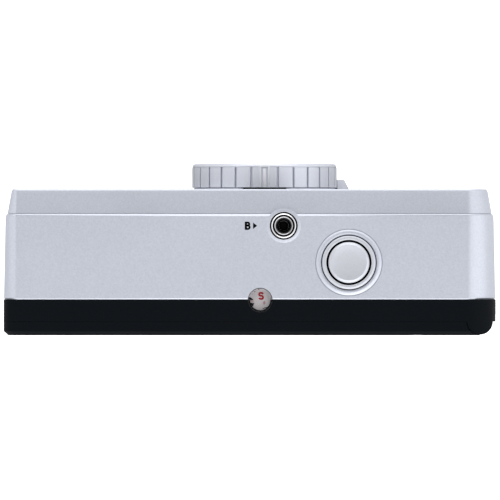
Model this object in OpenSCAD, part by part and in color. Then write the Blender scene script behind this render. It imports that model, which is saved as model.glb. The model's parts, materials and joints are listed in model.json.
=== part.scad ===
// Compact half-frame 35 mm film camera with a fixed lens, built-in flash and a rear door.
// Row frame: millimetres, origin at the middle of the base, +Z up, lens facing -Y,
// so the hand that presses the shutter button holds the -X end.

/* [Case] */
// Width of the case over both ends
body_w = 110; // [109.6:0.1:111]
// Height of the top deck above the base
deck_z = 61; // [60.8:0.1:62]
// Edge radius at the left-hand (+X) end of the case
edge_r_small = 3; // [2.6:0.1:3.6]
// Edge radius at the grip (-X) end of the case
edge_r_big = 6.5; // [6:0.1:6.8]

/* [Lens] */
// Lens axis, distance from the middle of the case
lens_x = -3.3; // [-3.6:0.1:-3]
// Lens axis, height above the base
lens_z = 30.5; // [30.3:0.1:30.8]
// Outside radius of the ribbed flash ring
ring_r = 16.35; // [15.8:0.05:16.4]
// Number of equal grip pads on each side of the flash ring, beside the one with the index
ring_pads = 12; // [8:1:12]

/* [Controls] */
// Radius of the shutter button's cap
button_r = 4.85; // [4.6:0.05:4.95]
// Bore radius of the cable release socket
cable_bore_r = 1.5; // [1.4:0.05:1.6]
// Bore radius of the tripod socket, the minor radius of a 1/4-20 thread
tripod_bore_r = 2.6; // [2.5:0.05:2.7]
// Radius of the thumb wheel that advances the film
wheel_r = 12.6; // [12.3:0.1:12.7]

/* [Film] */
// Width of the picture gate, half a standard frame
gate_w = 17; // [16:0.5:17]
// Height of the picture gate
gate_h = 24; // [23:0.5:24]

/* [Hidden] */
$fn = 48;

// Stations along Y, from the front face of the case to the back of the door
y_front = -13.4;
y_step = -7.8;
y_seam = 11.3;
y_plate = 12.2;
y_film = 14.2;
y_door = 16.2;
y_panel = 17.05;
y_rear = 19.25;
y_ring = -19.25;
y_ring_back = -13.85;

// Angle from one groove of the flash ring to the next, and half the angle of the index pad
ring_pitch = 13;
index_half = 10.5;

// Wall thicknesses and running gaps
wall_side = 2.2;
wall_top = 1.6;
wall_base = 1.8;
gap = 0.1;
eps = 0.01;

half_w = body_w / 2;
cavity_top = deck_z - wall_top;

// Axes of the film path: cassette, sprocket, idler and take-up spool
cassette = [37.6, 3.9];
sprocket_at = [-18.4, 8.15];
gear_mod = 0.5;
spool_teeth = 20;
idler_teeth = 18;
sprocket_teeth = 20;
train_length = gear_mod * (spool_teeth / 2 + idler_teeth + sprocket_teeth / 2);
spool_y = 6.5;
spool_at = [sprocket_at[0] - sqrt(pow(train_length, 2) - pow(sprocket_at[1] - spool_y, 2)), spool_y];
train_angle = atan2(sprocket_at[1] - spool_at[1], sprocket_at[0] - spool_at[0]);
idler_at = spool_at + gear_mod * (spool_teeth + idler_teeth) / 2 * [cos(train_angle), sin(train_angle)];

// Controls on the top deck
button_at = [-22.1, 3];
cable_at = [-7.55, -5.2];
window_at = [-2.3, 11.4];
window_r = 2.75;
counter_at = [-6.5, 6.55];
dial_r = 9.25;
ratchet_teeth = 38;

// Chambers
cassette_r = 13.2;
cassette_z = [6.6, 54.6];
spool_chamber_r = 10.7;
spool_chamber_z = [11, 50];
chamber_wall = 1.3;
roof_z = 51.4;

// Door hinge
hinge_at = [-51.4, 16.2];
hinge_r = 2.9;
hinge_z = [6, 55];

// Battery, an AAA cell standing on end
battery_at = [16.5, 3.2];
battery_r = 5.2;
battery_z = [5, 49];

// Filter lever and the swinging star filter that it drives
lever_angle = 195;
lever_turn = 28;
lever_teeth = 48;
arm_teeth = 30;
filter_mod = 0.4;
arm_length = filter_mod * (lever_teeth + arm_teeth) / 2;
arm_angle = 135;
arm_at = [lens_x + arm_length * cos(arm_angle), lens_z + arm_length * sin(arm_angle)];
parked_angle = arm_angle - 180 + lever_turn * lever_teeth / arm_teeth;
filter_at = arm_at + arm_length * [cos(parked_angle), sin(parked_angle)];

// Shutter blade pivot
blade_at = [lens_x + 8.5, lens_z - 6];

// ---- Shared shapes ----

// The span of given half width about a centre
function about(c, h) = [c - h, c + h];

// A block between two corners
module box(x, y, z) {
    translate([x[0], y[0], z[0]]) cube([x[1] - x[0], y[1] - y[0], z[1] - z[0]]);
}

// Extrudes an outline drawn in X and Z between two stations along Y
module along_y(y) {
    translate([0, y[1], 0]) rotate([90, 0, 0]) linear_extrude(y[1] - y[0]) children();
}

// A round bar along Y; at is its place in X and Z
module rod_y(at, y, r) {
    translate([at[0], y[1], at[1]]) rotate([90, 0, 0]) cylinder(h = y[1] - y[0], r = r);
}

// A round bar along Z; at is its place in X and Y
module rod_z(at, z, r) {
    translate([at[0], at[1], z[0]]) cylinder(h = z[1] - z[0], r = r);
}

module tube_y(at, y, r_out, r_in) {
    difference() {
        rod_y(at, y, r_out);
        rod_y(at, [y[0] - 1, y[1] + 1], r_in);
    }
}

module tube_z(at, z, r_out, r_in) {
    difference() {
        rod_z(at, z, r_out);
        rod_z(at, [z[0] - 1, z[1] + 1], r_in);
    }
}

// The outline of the case seen from the front, drawn in by side, top and base.
// The grip end has the larger edge radius.
module section(side = 0, top = 0, base = 0) {
    x = half_w - side;
    z0 = base;
    z1 = deck_z - top;
    big = max(edge_r_big - side, 0.8);
    small = max(edge_r_small - side, 0.8);
    for (z = [z0 + big, z1 - big]) translate([-x + big, z]) circle(big);
    for (z = [z0 + small, z1 - small]) translate([x - small, z]) circle(small);
    translate([-x + big, z0]) square([2 * x - big - small, z1 - z0]);
    translate([-x, z0 + big]) square([big + eps, z1 - z0 - 2 * big]);
    translate([x - small - eps, z0 + small]) square([small + eps, z1 - z0 - 2 * small]);
}

// A thin slice of the case, from which tapered shells are blended
module slice(y, side, top, base) {
    along_y([y, y + eps]) section(side, top, base);
}

// A ring sector drawn in a plane: radii r, angles a in degrees
module sector(r, a) {
    far = r[1] * 2;
    intersection() {
        difference() {
            circle(r[1]);
            circle(r[0]);
        }
        polygon([[0, 0], far * [cos(a[0]), sin(a[0])],
            far * [cos((a[0] + a[1]) / 2), sin((a[0] + a[1]) / 2)], far * [cos(a[1]), sin(a[1])]]);
    }
}

// Outline of a spur gear with straight-sided teeth; one tooth points along phase
module gear_outline(teeth, mod, phase) {
    pitch = 360 / teeth;
    r = mod * teeth / 2;
    root = r - 1.2 * mod;
    tip = r + 0.8 * mod;
    polygon([for (i = [0:teeth - 1]) for (p = [[root, -0.29], [tip, -0.1], [tip, 0.1], [root, 0.29]])
        p[0] * [cos(phase + pitch * (i + p[1])), sin(phase + pitch * (i + p[1]))]]);
}

module gear_z(at, z, teeth, mod, phase, bore) {
    translate([at[0], at[1], z[0]]) difference() {
        linear_extrude(z[1] - z[0]) gear_outline(teeth, mod, phase);
        translate([0, 0, -1]) cylinder(h = z[1] - z[0] + 2, r = bore);
    }
}

// Outline of a knurled wheel with shallow grooves
module knurled(r, grooves, depth) {
    polygon([for (i = [0:grooves - 1]) for (p = [[0, 0], [0, 0.3], [1, 0.5], [1, 0.8]])
        (r - p[0] * depth) * [cos(360 * (i + p[1]) / grooves), sin(360 * (i + p[1]) / grooves)]]);
}

// A coil spring of round wire along Z, swept as one closed tube
module spring(r, wire, turns, height, sides = 6, steps = 10) {
    rings = turns * steps;
    centre = [for (i = [0:rings]) [r * cos(360 * i / steps), r * sin(360 * i / steps),
        wire + (height - 2 * wire) * i / rings]];
    points = [for (i = [0:rings]) for (k = [0:sides - 1])
        let(a = 360 * i / steps, b = 360 * k / sides)
        centre[i] + wire * [cos(b) * cos(a), cos(b) * sin(a), sin(b)]];
    skin = [for (i = [0:rings - 1]) for (k = [0:sides - 1])
        let(n = (k + 1) % sides) [i * sides + k, (i + 1) * sides + k, (i + 1) * sides + n, i * sides + n]];
    caps = [[for (k = [0:sides - 1]) k], [for (k = [sides - 1:-1:0]) rings * sides + k]];
    triangles = [for (q = skin) each [[q[0], q[1], q[2]], [q[0], q[2], q[3]]]];
    polyhedron(points, concat(triangles, caps));
}

// A lens element along Y with two domed faces
module element(y, r, dome) {
    mid = (y[0] + y[1]) / 2;
    intersection() {
        rod_y([lens_x, lens_z], y, r);
        translate([lens_x, y[0] + dome, lens_z]) sphere(dome);
        translate([lens_x, y[1] - dome, lens_z]) sphere(dome);
    }
}

// ---- Case ----

crank_cup_r = 6.2;
crank_cup_top = 3.4;
battery_mouth_x = [10.2, 22.8];
battery_mouth_y = [-4.3, 10];
finder_x = [-9.7, 3.1];
finder_z = [47.6, 54.8];
eye_x = [-7.5, 0.9];
eye_z = [49.2, 54.4];
flash_x = [9, 27];
flash_z = [46, 57];
strap_y = [-2, 6];
strap_z = [38, 48];
base_screws = [[-44, 7], [48.2, -4.5]];
side_screws = [[50, 8], [20, 8.5]];
latch_z = [24, 36];

module lever_slot(r, margin) {
    translate([lens_x, lens_z]) sector(r, [lever_angle - 8 - margin, lever_angle + lever_turn + 8 + margin]);
}

// Silver front cover: a tub with its floor, ends and deck, and a narrower tapered front
module front_cover() {
    color("silver") difference() {
        union() {
            hull() {
                slice(y_seam - eps, 0.1, 0, 0);
                slice(y_step, 0.45, 0, 0);
            }
            rod_z(cable_at, [cavity_top, deck_z + 0.15], 3.8);
            rod_z(button_at, [cavity_top, deck_z + 0.25], 7.5);
        }
        along_y([y_step + 0.6, y_seam + 1]) section(wall_side, wall_top, wall_base);
        along_y([y_step - 1, y_step + 0.7]) section(wall_side, wall_top, wall_base);
        rod_z(button_at, [cavity_top - 1, deck_z + 1], 5.7);
        rod_z(cable_at, [cavity_top - 3, deck_z + 1], 3.15);
        rod_z(window_at, [deck_z - 1.15, deck_z + 1], window_r);
        rod_z(window_at, [cavity_top - 1, deck_z], 2.25);
        rod_z(cassette, [-1, wall_base + 1], crank_cup_r + 0.9);
        rod_z([lens_x, 0], [-1, wall_base + 1], 4.6);
        rod_z(sprocket_at, [-1, wall_base + 1], 2);
        box(battery_mouth_x, battery_mouth_y, [-1, wall_base + 1]);
        translate([battery_mouth_x[0] - 1, battery_hinge[0], battery_hinge[1]]) rotate([0, 90, 0])
            cylinder(h = battery_mouth_x[1] - battery_mouth_x[0] + 2, r = 0.45);
        for (p = base_screws) {
            rod_z(p, [-1, wall_base + 1], 1.1);
            rod_z(p, [-1, 0.9], 1.9);
        }
        for (s = [1, -1]) screw_seat(s);
        box([-half_w - 1, -half_w + 3], strap_y, strap_z);
    }
    color("silver") difference() {
        rod_z(cassette, [0, crank_cup_top + 1.1], crank_cup_r + 0.9);
        rod_z(cassette, [-1, crank_cup_top], crank_cup_r);
        rod_z(cassette, [-1, crank_cup_top + 2], 2.1);
    }
    color("silver") difference() {
        box([-half_w + 1.2, -half_w + 4.4], strap_y + [-0.8, 0.8], strap_z + [-0.8, 0.8]);
        box([-half_w - 1, -half_w + 3.6], strap_y, strap_z);
    }
}

// Tapered front of the case, with a short lip that seats inside the cover
module front_panel() {
    color("silver") difference() {
        union() {
            hull() {
                slice(y_step - eps, 0.8, 0.5, 0.5);
                slice(y_front, 1.8, 1.5, 1.5);
            }
            along_y([y_step - 0.5, y_step + 0.6])
                section(wall_side + 0.05, wall_top + 0.05, wall_base + 0.05);
            // Low seat behind the flash ring, open for a short way at the top
            along_y([y_ring_back + 0.05, y_front + 0.1]) translate([lens_x, lens_z])
                difference() {
                    circle(15.9, $fn = 96);
                    circle(15.25, $fn = 96);
                    translate([-4.9, 10]) square([9.8, 10]);
                }
        }
        along_y([y_front + 1.8, y_step + 1]) section(3.7, 3.1, 3.3);
        rod_y([lens_x, lens_z], [y_front - 1, y_front + 2], 8.55);
        along_y([y_front - 1, y_front + 2]) lever_slot([16.4, 18.6], 1);
        // Shallow bed for the grip panel
        along_y([y_front - 1, y_front + 0.5]) grip_outline(0);
        box(finder_x + [-0.2, 0.2], [y_front - 1, y_front + 2], finder_z + [-0.2, 0.2]);
        box(flash_x + [-0.5, 0.5], [y_front - 1, y_front + 2], flash_z + [-0.5, 0.5]);
        // Notch round the boss of the cable release socket
        rod_z(cable_at, [cavity_top - 3.5, deck_z + 1], 3.82);
    }
}

// Countersunk seat for the screw in one end of the case
module screw_seat(s) {
    at = s > 0 ? side_screws[0] : side_screws[1];
    translate([s * (half_w - 3.5), at[1], at[0]]) rotate([0, s * 90, 0]) cylinder(h = 5, r = 1.1);
    translate([s * (half_w - 1.2), at[1], at[0]]) rotate([0, s * 90, 0]) cylinder(h = 5, r = 1.9);
}

// Outline of the ribbed grip panel, pierced for the lens surround
module grip_outline(inset) {
    r = 2.5 - inset;
    x = 49.5 - inset;
    z = [6.5 + inset, 43.5 - inset];
    difference() {
        union() {
            for (sx = [-1, 1]) for (c = z) translate([sx * (x - r), c == z[0] ? c + r : c - r]) circle(r);
            translate([-x + r, z[0]]) square([2 * (x - r), z[1] - z[0]]);
            translate([-x, z[0] + r]) square([2 * x, z[1] - z[0] - 2 * r]);
        }
        translate([lens_x, lens_z]) circle(20 + inset);
    }
}

module grip_panel() {
    color([0.08, 0.08, 0.085]) difference() {
        along_y([y_front + 0.05, y_front + 0.5]) grip_outline(0.1);
        // Vertical ribs at a two millimetre pitch
        for (x = [-47:2:47]) box([x - 0.4, x + 0.4], [y_front - 1, y_front + 0.3], [8.5, 41.5]);
    }
}

// Black rear body: rim, film plate, chambers and light box in one moulding
module main_body() {
    color([0.06, 0.065, 0.07]) difference() {
        union() {
            difference() {
                along_y([y_seam, y_door]) section(0, 0.1, 0);
                along_y([y_seam - 1, y_door + 1]) section(2.4, 2.4, 2.4);
            }
            along_y([y_plate, y_film]) section(2.3, 2.3, 2.3);
            // Spigot that the front cover fits over
            difference() {
                along_y([9.5, y_plate]) section(wall_side + 0.2, wall_top + 0.2, wall_base + 0.2);
                along_y([9, y_plate + 1]) section(wall_side + 1.4, wall_top + 1.4, wall_base + 1.4);
            }
            chamber(cassette, cassette_r, cassette_z);
            chamber(spool_at, spool_chamber_r, spool_chamber_z);
            intersection() {
                for (z = [[spool_chamber_z[0] - 1.4, 18], [43, roof_z]]) rod_z(sprocket_at, z, 8.6);
                box([-30, -5], [-5, y_plate + 0.5], [0, deck_z]);
            }
            light_box(1);
            rails();
            hinge_blocks();
            // Bosses for the base screws and for the screw in the grip end
            rod_z(base_screws[0], [wall_base + 0.1, 10], 2.2);
            rod_z(base_screws[1], [wall_base + 0.1, 5.5], 2.2);
            translate([-half_w + wall_side + 0.3, side_screws[1][1], side_screws[1][0]])
                rotate([0, 90, 0]) cylinder(h = 6, r = 2.2);
            rod_z(idler_at, [roof_z - 1, 53.45], 1);
        }
        chamber_hollow(cassette, cassette_r, cassette_z);
        chamber_hollow(spool_at, spool_chamber_r, spool_chamber_z);
        for (z = [[spool_chamber_z[0], 17.3], [43.7, spool_chamber_z[1]]]) rod_z(sprocket_at, z, 7.6);
        rod_z(sprocket_at, [spool_chamber_z[0], spool_chamber_z[1]], 4.4);
        rod_z(sprocket_at, [5, 60], 1.25);
        rod_z(spool_at, [5, 60], 1.55);
        rod_z(cassette, [4, 8], 2.1);
        // Room beside the seam for the crank's cup, the release button and the sprocket's gear
        rod_z(cassette, [-1, 4.8], crank_cup_r + 1.1);
        rod_z(sprocket_at, [-1, 4.5], 3.2);
        rod_z(sprocket_at, [roof_z, 57.8], 5.9);
        tube_z(idler_at, [roof_z + 0.1, 53.4], 5.3, 3);
        light_box(0);
        rod_y([lens_x, lens_z], [-6, -2], 5);
        // Openings for the thumb wheel, the counter dial, the eyepiece and the ready lamp
        rod_z(spool_at, [53.9, 58.1], wheel_r + 0.4);
        rod_z(counter_at, [56.9, 59.3], dial_r + 0.3);
        rod_z(window_at, [deck_z - 1.15, deck_z + 1], window_r);
        rod_z(window_at, [58, deck_z], 2.25);
        box(eye_x + [-0.2, 0.2], [8, 17], eye_z + [-0.2, 0.2]);
        rod_y([5.5, 53], [8, 17], 1.35);
        // Room for the turning hinge barrel, and the open stretch of the end wall beside it
        rod_z(hinge_at, hinge_z + [-0.2, 0.2], hinge_r + 0.2);
        box([-half_w - 1, hinge_at[0]], [14.6, 20], hinge_z + [-0.2, 0.2]);
        rod_z(hinge_at, [2.5, 58.5], 0.8);
        // Pocket for the door's claw, and the slot for the latch in the left-hand end
        box([50.2, half_w - 2.9], [13.2, y_door + 1], [27, 33]);
        box([half_w - 3, half_w + 1], [y_seam + 1, y_door - 1], latch_z);
        for (p = base_screws) rod_z(p, [0, 5.2], 0.9);
        for (s = [1, -1]) let(at = s > 0 ? side_screws[0] : side_screws[1])
            translate([s * (half_w - 3.9), at[1], at[0]]) rotate([0, s * 90, 0]) cylinder(h = 4, r = 0.9);
    }
}

// A chamber's outside: a round nose and straight sides back to the film plate
module chamber(at, r, z) {
    out = r + chamber_wall;
    intersection() {
        union() {
            rod_z(at, [z[0] - 1.4, z[1] + 1.4], out);
            box([at[0] - out, at[0] + out], [at[1], y_plate + 0.5], [z[0] - 1.4, z[1] + 1.4]);
        }
        box([at[0] - out, at[0] + out], [at[1] - out, y_plate + 0.5], [z[0] - 1.4, z[1] + 1.4]);
    }
}

module chamber_hollow(at, r, z) {
    rod_z(at, z, r);
    box([at[0] - r, at[0] + r], [at[1], y_door + 1], z);
}

// The tapered box that carries the image from the shutter to the gate
module light_box(wall) {
    back = wall > 0 ? y_plate + 0.5 : y_film + 0.5;
    front = wall > 0 ? -4.8 : -3.8;
    hull() {
        box([lens_x - gate_w / 2 - wall, lens_x + gate_w / 2 + wall], [back - eps, back],
            [lens_z - gate_h / 2 - wall, lens_z + gate_h / 2 + wall]);
        box([lens_x - 5.6 - wall, lens_x + 5.6 + wall], [front, front + eps],
            [lens_z - 7 - wall, lens_z + 7 + wall]);
    }
}

// Polished rails that the film slides on
module rails() {
    for (z = [lens_z - 17.9, lens_z - 13.1, lens_z + 12.3, lens_z + 17.1])
        box([-11, 23.5], [y_film - eps, y_film + 0.3], [z, z + 0.8]);
}

// Blocks at the top and bottom of the hinge that hold the pin
module hinge_blocks() {
    intersection() {
        along_y([y_seam, y_rear]) section(0, 0.1, 0);
        for (z = [[0, hinge_z[0] - 0.2], [hinge_z[1] + 0.2, deck_z]]) {
            rod_z(hinge_at, z, hinge_r);
            box([-half_w, -48.2], [13, y_door], z);
        }
    }
}

// ---- Door ----

module back_door() {
    color([0.06, 0.065, 0.07]) difference() {
        union() {
            difference() {
                union() {
                    along_y([y_door + 0.05, 18.35]) section(0, 0.1, 0);
                    hull() {
                        slice(18.3, 0, 0.1, 0);
                        slice(y_rear - eps, 1, 1.1, 1);
                    }
                }
                // Inside of the door, leaving a lip round its edge
                along_y([y_door - 1, y_panel]) section(1.6, 1.7, 1.6);
                // The panel stops at the hinge pin, and clears the ends of the hinge
                box([-half_w - 1, hinge_at[0]], [y_door - 1, y_rear + 1], [-1, 70]);
                for (z = [[-1, hinge_z[0]], [hinge_z[1], 70]]) rod_z(hinge_at, z, hinge_r + 0.15);
            }
            // Barrel of the hinge, rounded about the pin
            rod_z(hinge_at, hinge_z, 2.2);
            intersection() {
                rod_z(hinge_at, hinge_z, hinge_r);
                box([-half_w, hinge_at[0] + 0.5], [y_door + 0.05, y_rear], hinge_z);
            }
            box([hinge_at[0], -48], [y_door + 0.1, y_panel + 0.5], hinge_z);
            // Claw for the latch, and studs for the pressure plate's spring
            box([50.4, 51.6], [13.4, y_panel + 0.5], [28, 32]);
            for (x = [-9, 9]) rod_y([lens_x + x, lens_z], [16.3, y_panel + 0.5], 1);
        }
        rod_z(hinge_at, [-1, 70], 0.87);
        // Thumb wheel slot with a dished surround
        box([spool_at[0] - 8.4, spool_at[0] + 8.4], [y_door - 1, y_rear + 1], [53.6, 58.4]);
        translate([spool_at[0], y_rear + 22.8, 52.6]) sphere(24);
        box(eye_x + [-0.6, 0.6], [y_door - 1, y_rear + 1], eye_z + [-0.6, 0.6]);
        rod_y([5.5, 53], [y_door - 1, y_rear + 1], 1.6);
    }
}

// Foam strip round the inside of the door
module door_seal() {
    color([0.03, 0.03, 0.03]) difference() {
        box([-47.8, 50], [y_panel - 0.5, y_panel], [3, 48.4]);
        box([-46.4, 48.6], [y_panel - 1, y_panel + 1], [4.4, 47]);
    }
}

module pressure_plate() {
    color("dimgray") difference() {
        union() {
            box([lens_x - 13, lens_x + 13], [y_film + 0.5, y_film + 1.1], [lens_z - 17.5, lens_z + 17.5]);
            // Turned edges that stiffen the plate
            for (s = [-1, 1])
                box(about(lens_x + s * 12.7, 0.3), [y_film + 0.5, y_film + 1.5], about(lens_z, 17.5));
        }
        // Corners cleared for the sprocket's teeth
        for (z = [lens_z - 14.1, lens_z + 14.1])
            box([lens_x - 14, lens_x - 8.5], [y_film, y_film + 2], [z - 1.6, z + 1.6]);
    }
}

// Bowed leaf spring between the pressure plate and the door
module pressure_spring() {
    color("gainsboro") {
        box([lens_x - 10.5, lens_x - 7.5], [y_film + 1.95, y_film + 2.1], [lens_z - 2, lens_z + 2]);
        box([lens_x + 7.5, lens_x + 10.5], [y_film + 1.95, y_film + 2.1], [lens_z - 2, lens_z + 2]);
        for (s = [-1, 1]) hull() {
            box(about(lens_x + s * 7.5, 0.3), [y_film + 1.95, y_film + 2.1], about(lens_z, 2));
            box(about(lens_x + s * 3, 0.3), [y_film + 1.1, y_film + 1.25], about(lens_z, 2));
        }
        box([lens_x - 3.2, lens_x + 3.2], [y_film + 1.1, y_film + 1.25], [lens_z - 2, lens_z + 2]);
    }
}

module hinge_pin() {
    color("silver") rod_z(hinge_at, [2.5, 58.5], 0.8);
}

// Sliding latch: a grooved thumb piece in the end wall on a plate behind it
module door_latch() {
    color([0.07, 0.07, 0.075]) difference() {
        union() {
            box([half_w - 2.9, half_w - 0.3], [y_seam + 1.15, y_door - 1.15], [latch_z[0] + 4.3, latch_z[1] - 0.2]);
            box([half_w - 2.9, half_w - 2.45], [y_seam + 1.15, y_door - 1.15], [latch_z[0] + 4.3, latch_z[1] - 0.2]);
        }
        for (z = [latch_z[0] + 5.4:1.1:latch_z[1] - 1]) 
            box([half_w - 0.7, half_w + 1], [y_seam, y_door], [z, z + 0.5]);
    }
}

module latch_spring() {
    color("gainsboro") translate([half_w - 1.7, 13.75, latch_z[0]]) spring(0.75, 0.16, 5, 4.3);
}

// ---- Lens, flash ring and filter ----

// Outline of one half of the flash ring, radius against height above its back edge
module ring_profile() {
    h = y_ring_back - y_ring;
    polygon([[11.1, 0], [ring_r, 0], [ring_r - 0.15, h - 0.55], [ring_r - 0.65, h],
        [12.9, h], [12.1, h - 0.8], [12.1, h - 1.3], [11.1, h - 1.3]]);
}

// Ribbed ring that switches the flash, with an index mark at its top when off
module mode_ring() {
    h = y_ring_back - y_ring;
    color("gainsboro") translate([lens_x, y_ring_back, lens_z]) rotate([90, 0, 0]) difference() {
        rotate_extrude($fn = 96) ring_profile();
        for (i = [0:ring_pads]) for (s = [-1, 1])
            rotate([0, 0, 90 + s * (index_half + i * ring_pitch)])
                translate([ring_r - 0.5, -0.28, -1]) cube([2, 0.56, h - 0.1]);
        // Sunk arch round the raised index bar
        rotate([0, 0, 90]) for (s = [-1, 1])
            translate([ring_r - 0.3, s * 0.56 - 0.22, -1]) cube([2, 0.44, h + 0.2]);
        rotate([0, 0, 90]) translate([ring_r - 0.3, -0.78, h - 1.15]) cube([2, 1.56, 0.35]);
    }
}

module lens_barrel() {
    color([0.05, 0.05, 0.055]) translate([lens_x, 0, lens_z]) rotate([90, 0, 0]) difference() {
        union() {
            translate([0, 0, 13.4]) cylinder(h = 0.4, r = 15.2);
            translate([0, 0, 13.4]) cylinder(h = 4.8, r = 11.02);
            translate([0, 0, 9.8]) cylinder(h = 4, r = 8.5);
        }
        translate([0, 0, 9]) cylinder(h = 10, r = 4.6);
        translate([0, 0, 10.6]) cylinder(h = 2.6, r = 5);
        // Stepped hood that stops stray light
        for (i = [0:4]) translate([0, 0, 13.2 + i]) cylinder(h = 8, r = 5.4 + 0.85 * i);
    }
}

// Front plate that keeps the flash ring on the barrel
module lens_trim() {
    color([0.05, 0.05, 0.055]) translate([lens_x, -18.2, lens_z]) rotate([90, 0, 0]) difference() {
        cylinder(h = 0.5, r = 12);
        translate([0, 0, -1]) cylinder(h = 3, r = 9.2);
    }
}

module front_lens() {
    color([0.6, 0.7, 0.8, 0.4]) element([-13.15, -10.65], 4.95, 14);
}

module rear_lens() {
    color([0.6, 0.7, 0.8, 0.4]) element([-8.3, -6.9], 3.95, 20);
}

// Ring round the barrel with a toothed edge and a finger tab through the front
module filter_lever() {
    color("silver") difference() {
        union() {
            along_y([-11.4, -10.6]) translate([lens_x, lens_z]) intersection() {
                gear_outline(lever_teeth, filter_mod, arm_angle);
                circle(11);
            }
            along_y([-11.4, -10.6]) translate([lens_x, lens_z])
                sector([8.6, 18.3], [lever_angle - 5, lever_angle + 5]);
            along_y([-13.6, -11.3]) translate([lens_x, lens_z])
                sector([16.7, 18.3], [lever_angle - 6, lever_angle + 6]);
            lever_tab();
        }
        rod_y([lens_x, lens_z], [-12, -10], 8.58);
    }
}

// Finger tab, sloped on its outer side
module lever_tab() {
    hull() {
        along_y([-13.7, -13.5]) translate([lens_x, lens_z])
            sector([16.65, 19.25], [lever_angle - 8, lever_angle + 8]);
        along_y([-15.7, -15.5]) translate([lens_x, lens_z])
            sector([16.65, 18.3], [lever_angle - 6.5, lever_angle + 6.5]);
    }
}

// Arm that swings the star filter behind the front lens
module filter_arm() {
    color("silver") difference() {
        union() {
            along_y([-11.35, -10.65]) translate(arm_at) intersection() {
                gear_outline(arm_teeth, filter_mod, arm_angle + 180 + 180 / arm_teeth);
                sector([0, 8], [parked_angle - 62, parked_angle + 20]);
            }
            rod_y(arm_at, [-11.35, -8.4], 2.2);
            along_y([-9.4, -8.4]) difference() {
                union() {
                    translate(arm_at) rotate(parked_angle) translate([0, -1.6]) square([arm_length, 3.2]);
                    translate(filter_at) circle(5.6);
                }
                translate(filter_at) circle(4.7);
            }
        }
        rod_y(arm_at, [-12, -8], 0.95);
        rod_y(filter_at, [-12, -8.8], 5.2);
    }
}

module star_filter() {
    color([0.7, 0.8, 0.85, 0.4]) rod_y(filter_at, [-9.4, -8.8], 5.15);
}

// ---- Shutter ----

module shutter_plate() {
    color("dimgray") {
        difference() {
            along_y([-7.9, -6.7]) union() {
                translate([lens_x - 15, lens_z - 12]) square([29, 26]);
                translate([lens_x - 13, lens_z + 12]) square([20, 4.5]);
            }
            rod_y([lens_x, lens_z], [-9, -6], 4);
            // Window for the release lever's tail
            box([-15, -10.2], [-9, -6], [44.3, 50]);
        }
        rod_y(arm_at, [-11.5, -7.9], 0.9);
        rod_y(blade_at, [-6.7, -5], 0.8);
        // Posts that stand the plate off the aperture plate
        for (s = [-1, 1]) rod_y([lens_x + s * 6.2, lens_z + 6], [-6.7, -5.4], 0.8);
    }
}

module aperture_plate() {
    color([0.1, 0.1, 0.1]) difference() {
        along_y([-5.4, -4.8]) translate([lens_x - 7, lens_z - 8]) square([14, 15]);
        rod_y([lens_x, lens_z], [-6, -4], 1.2);
        rod_y(blade_at, [-6, -4], 2.2);
    }
}

module shutter_blade() {
    to_axis = atan2(lens_z - blade_at[1], lens_x - blade_at[0]);
    color("gray") difference() {
        along_y([-6.35, -6.05]) union() {
            translate([lens_x, lens_z]) circle(3.2);
            translate(blade_at) rotate(to_axis) translate([0, -1.3]) square([10.4, 2.6]);
            translate(blade_at) circle(1.9);
            translate(blade_at) rotate(to_axis + 115) translate([0, -0.7]) square([4.5, 1.4]);
        }
        rod_y(blade_at, [-7, -5], 0.85);
    }
}

module blade_spring() {
    color("gainsboro") translate([blade_at[0], -5.05, blade_at[1]]) rotate([90, 0, 0])
        spring(1.25, 0.12, 3, 0.9, 6, 12);
}

lever_pivot = [-13.2, 55.6];

// Cross shaft with a finger under the shutter button and a tail down to the shutter
module release_lever() {
    color("silver") {
        rod_y(lever_pivot, [-7.6, 5.8], 0.9);
        box([button_at[0] - 1.4, lever_pivot[0]], [1.8, 4.2], [55.7, 56.3]);
        box([button_at[0] - 0.5, button_at[0] + 0.5], [2.2, 3.8], [56.2, 56.55]);
        box([lever_pivot[0] - 0.9, lever_pivot[0] + 0.9], [-7.6, -6.8], [46, 56]);
    }
}

// ---- Viewfinder ----

module viewfinder_tunnel() {
    color([0.05, 0.05, 0.055]) difference() {
        union() {
            box(finder_x, [-12.2, 10.8], finder_z);
            box(eye_x, [10, 18.6], eye_z);
            // Ears that carry the release lever's shaft
            for (y = [[4.6, 5.6], [-2.4, -1.4]]) box([-14.7, finder_x[0] + 0.5], y, [53.5, 56.85]);
        }
        box(finder_x + [1, -1], [-13, 10], finder_z + [1, -1]);
        box(eye_x + [0.8, -0.8], [9, 17.4], eye_z + [0.8, -0.8]);
        box(eye_x + [1.4, -1.4], [17, 20], eye_z + [1.2, -1.2]);
        rod_y(lever_pivot, [-6, 6], 0.95);
    }
}

module viewfinder_window() {
    color([0.6, 0.7, 0.75, 0.4]) box(finder_x + [-0.1, 0.1], [-13.3, -12.25], finder_z + [-0.1, 0.1]);
}

module eyepiece_lens() {
    color([0.6, 0.7, 0.75, 0.4]) box(eye_x + [0.85, -0.85], [16.2, 17.35], eye_z + [0.85, -0.85]);
}

// ---- Flash and battery ----

module flash_window() {
    color([0.85, 0.88, 0.9, 0.5]) difference() {
        box(flash_x + [-0.4, 0.4], [-13.35, -12.35], flash_z + [-0.4, 0.4]);
        // Prismatic ribs on the inner face spread the light
        for (x = [flash_x[0] + 1:1:flash_x[1] - 1]) box([x - 0.2, x + 0.2], [-12.6, -12], flash_z + [0.8, -0.8]);
    }
}

flash_mid = [(flash_x[0] + flash_x[1]) / 2, (flash_z[0] + flash_z[1]) / 2];

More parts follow.
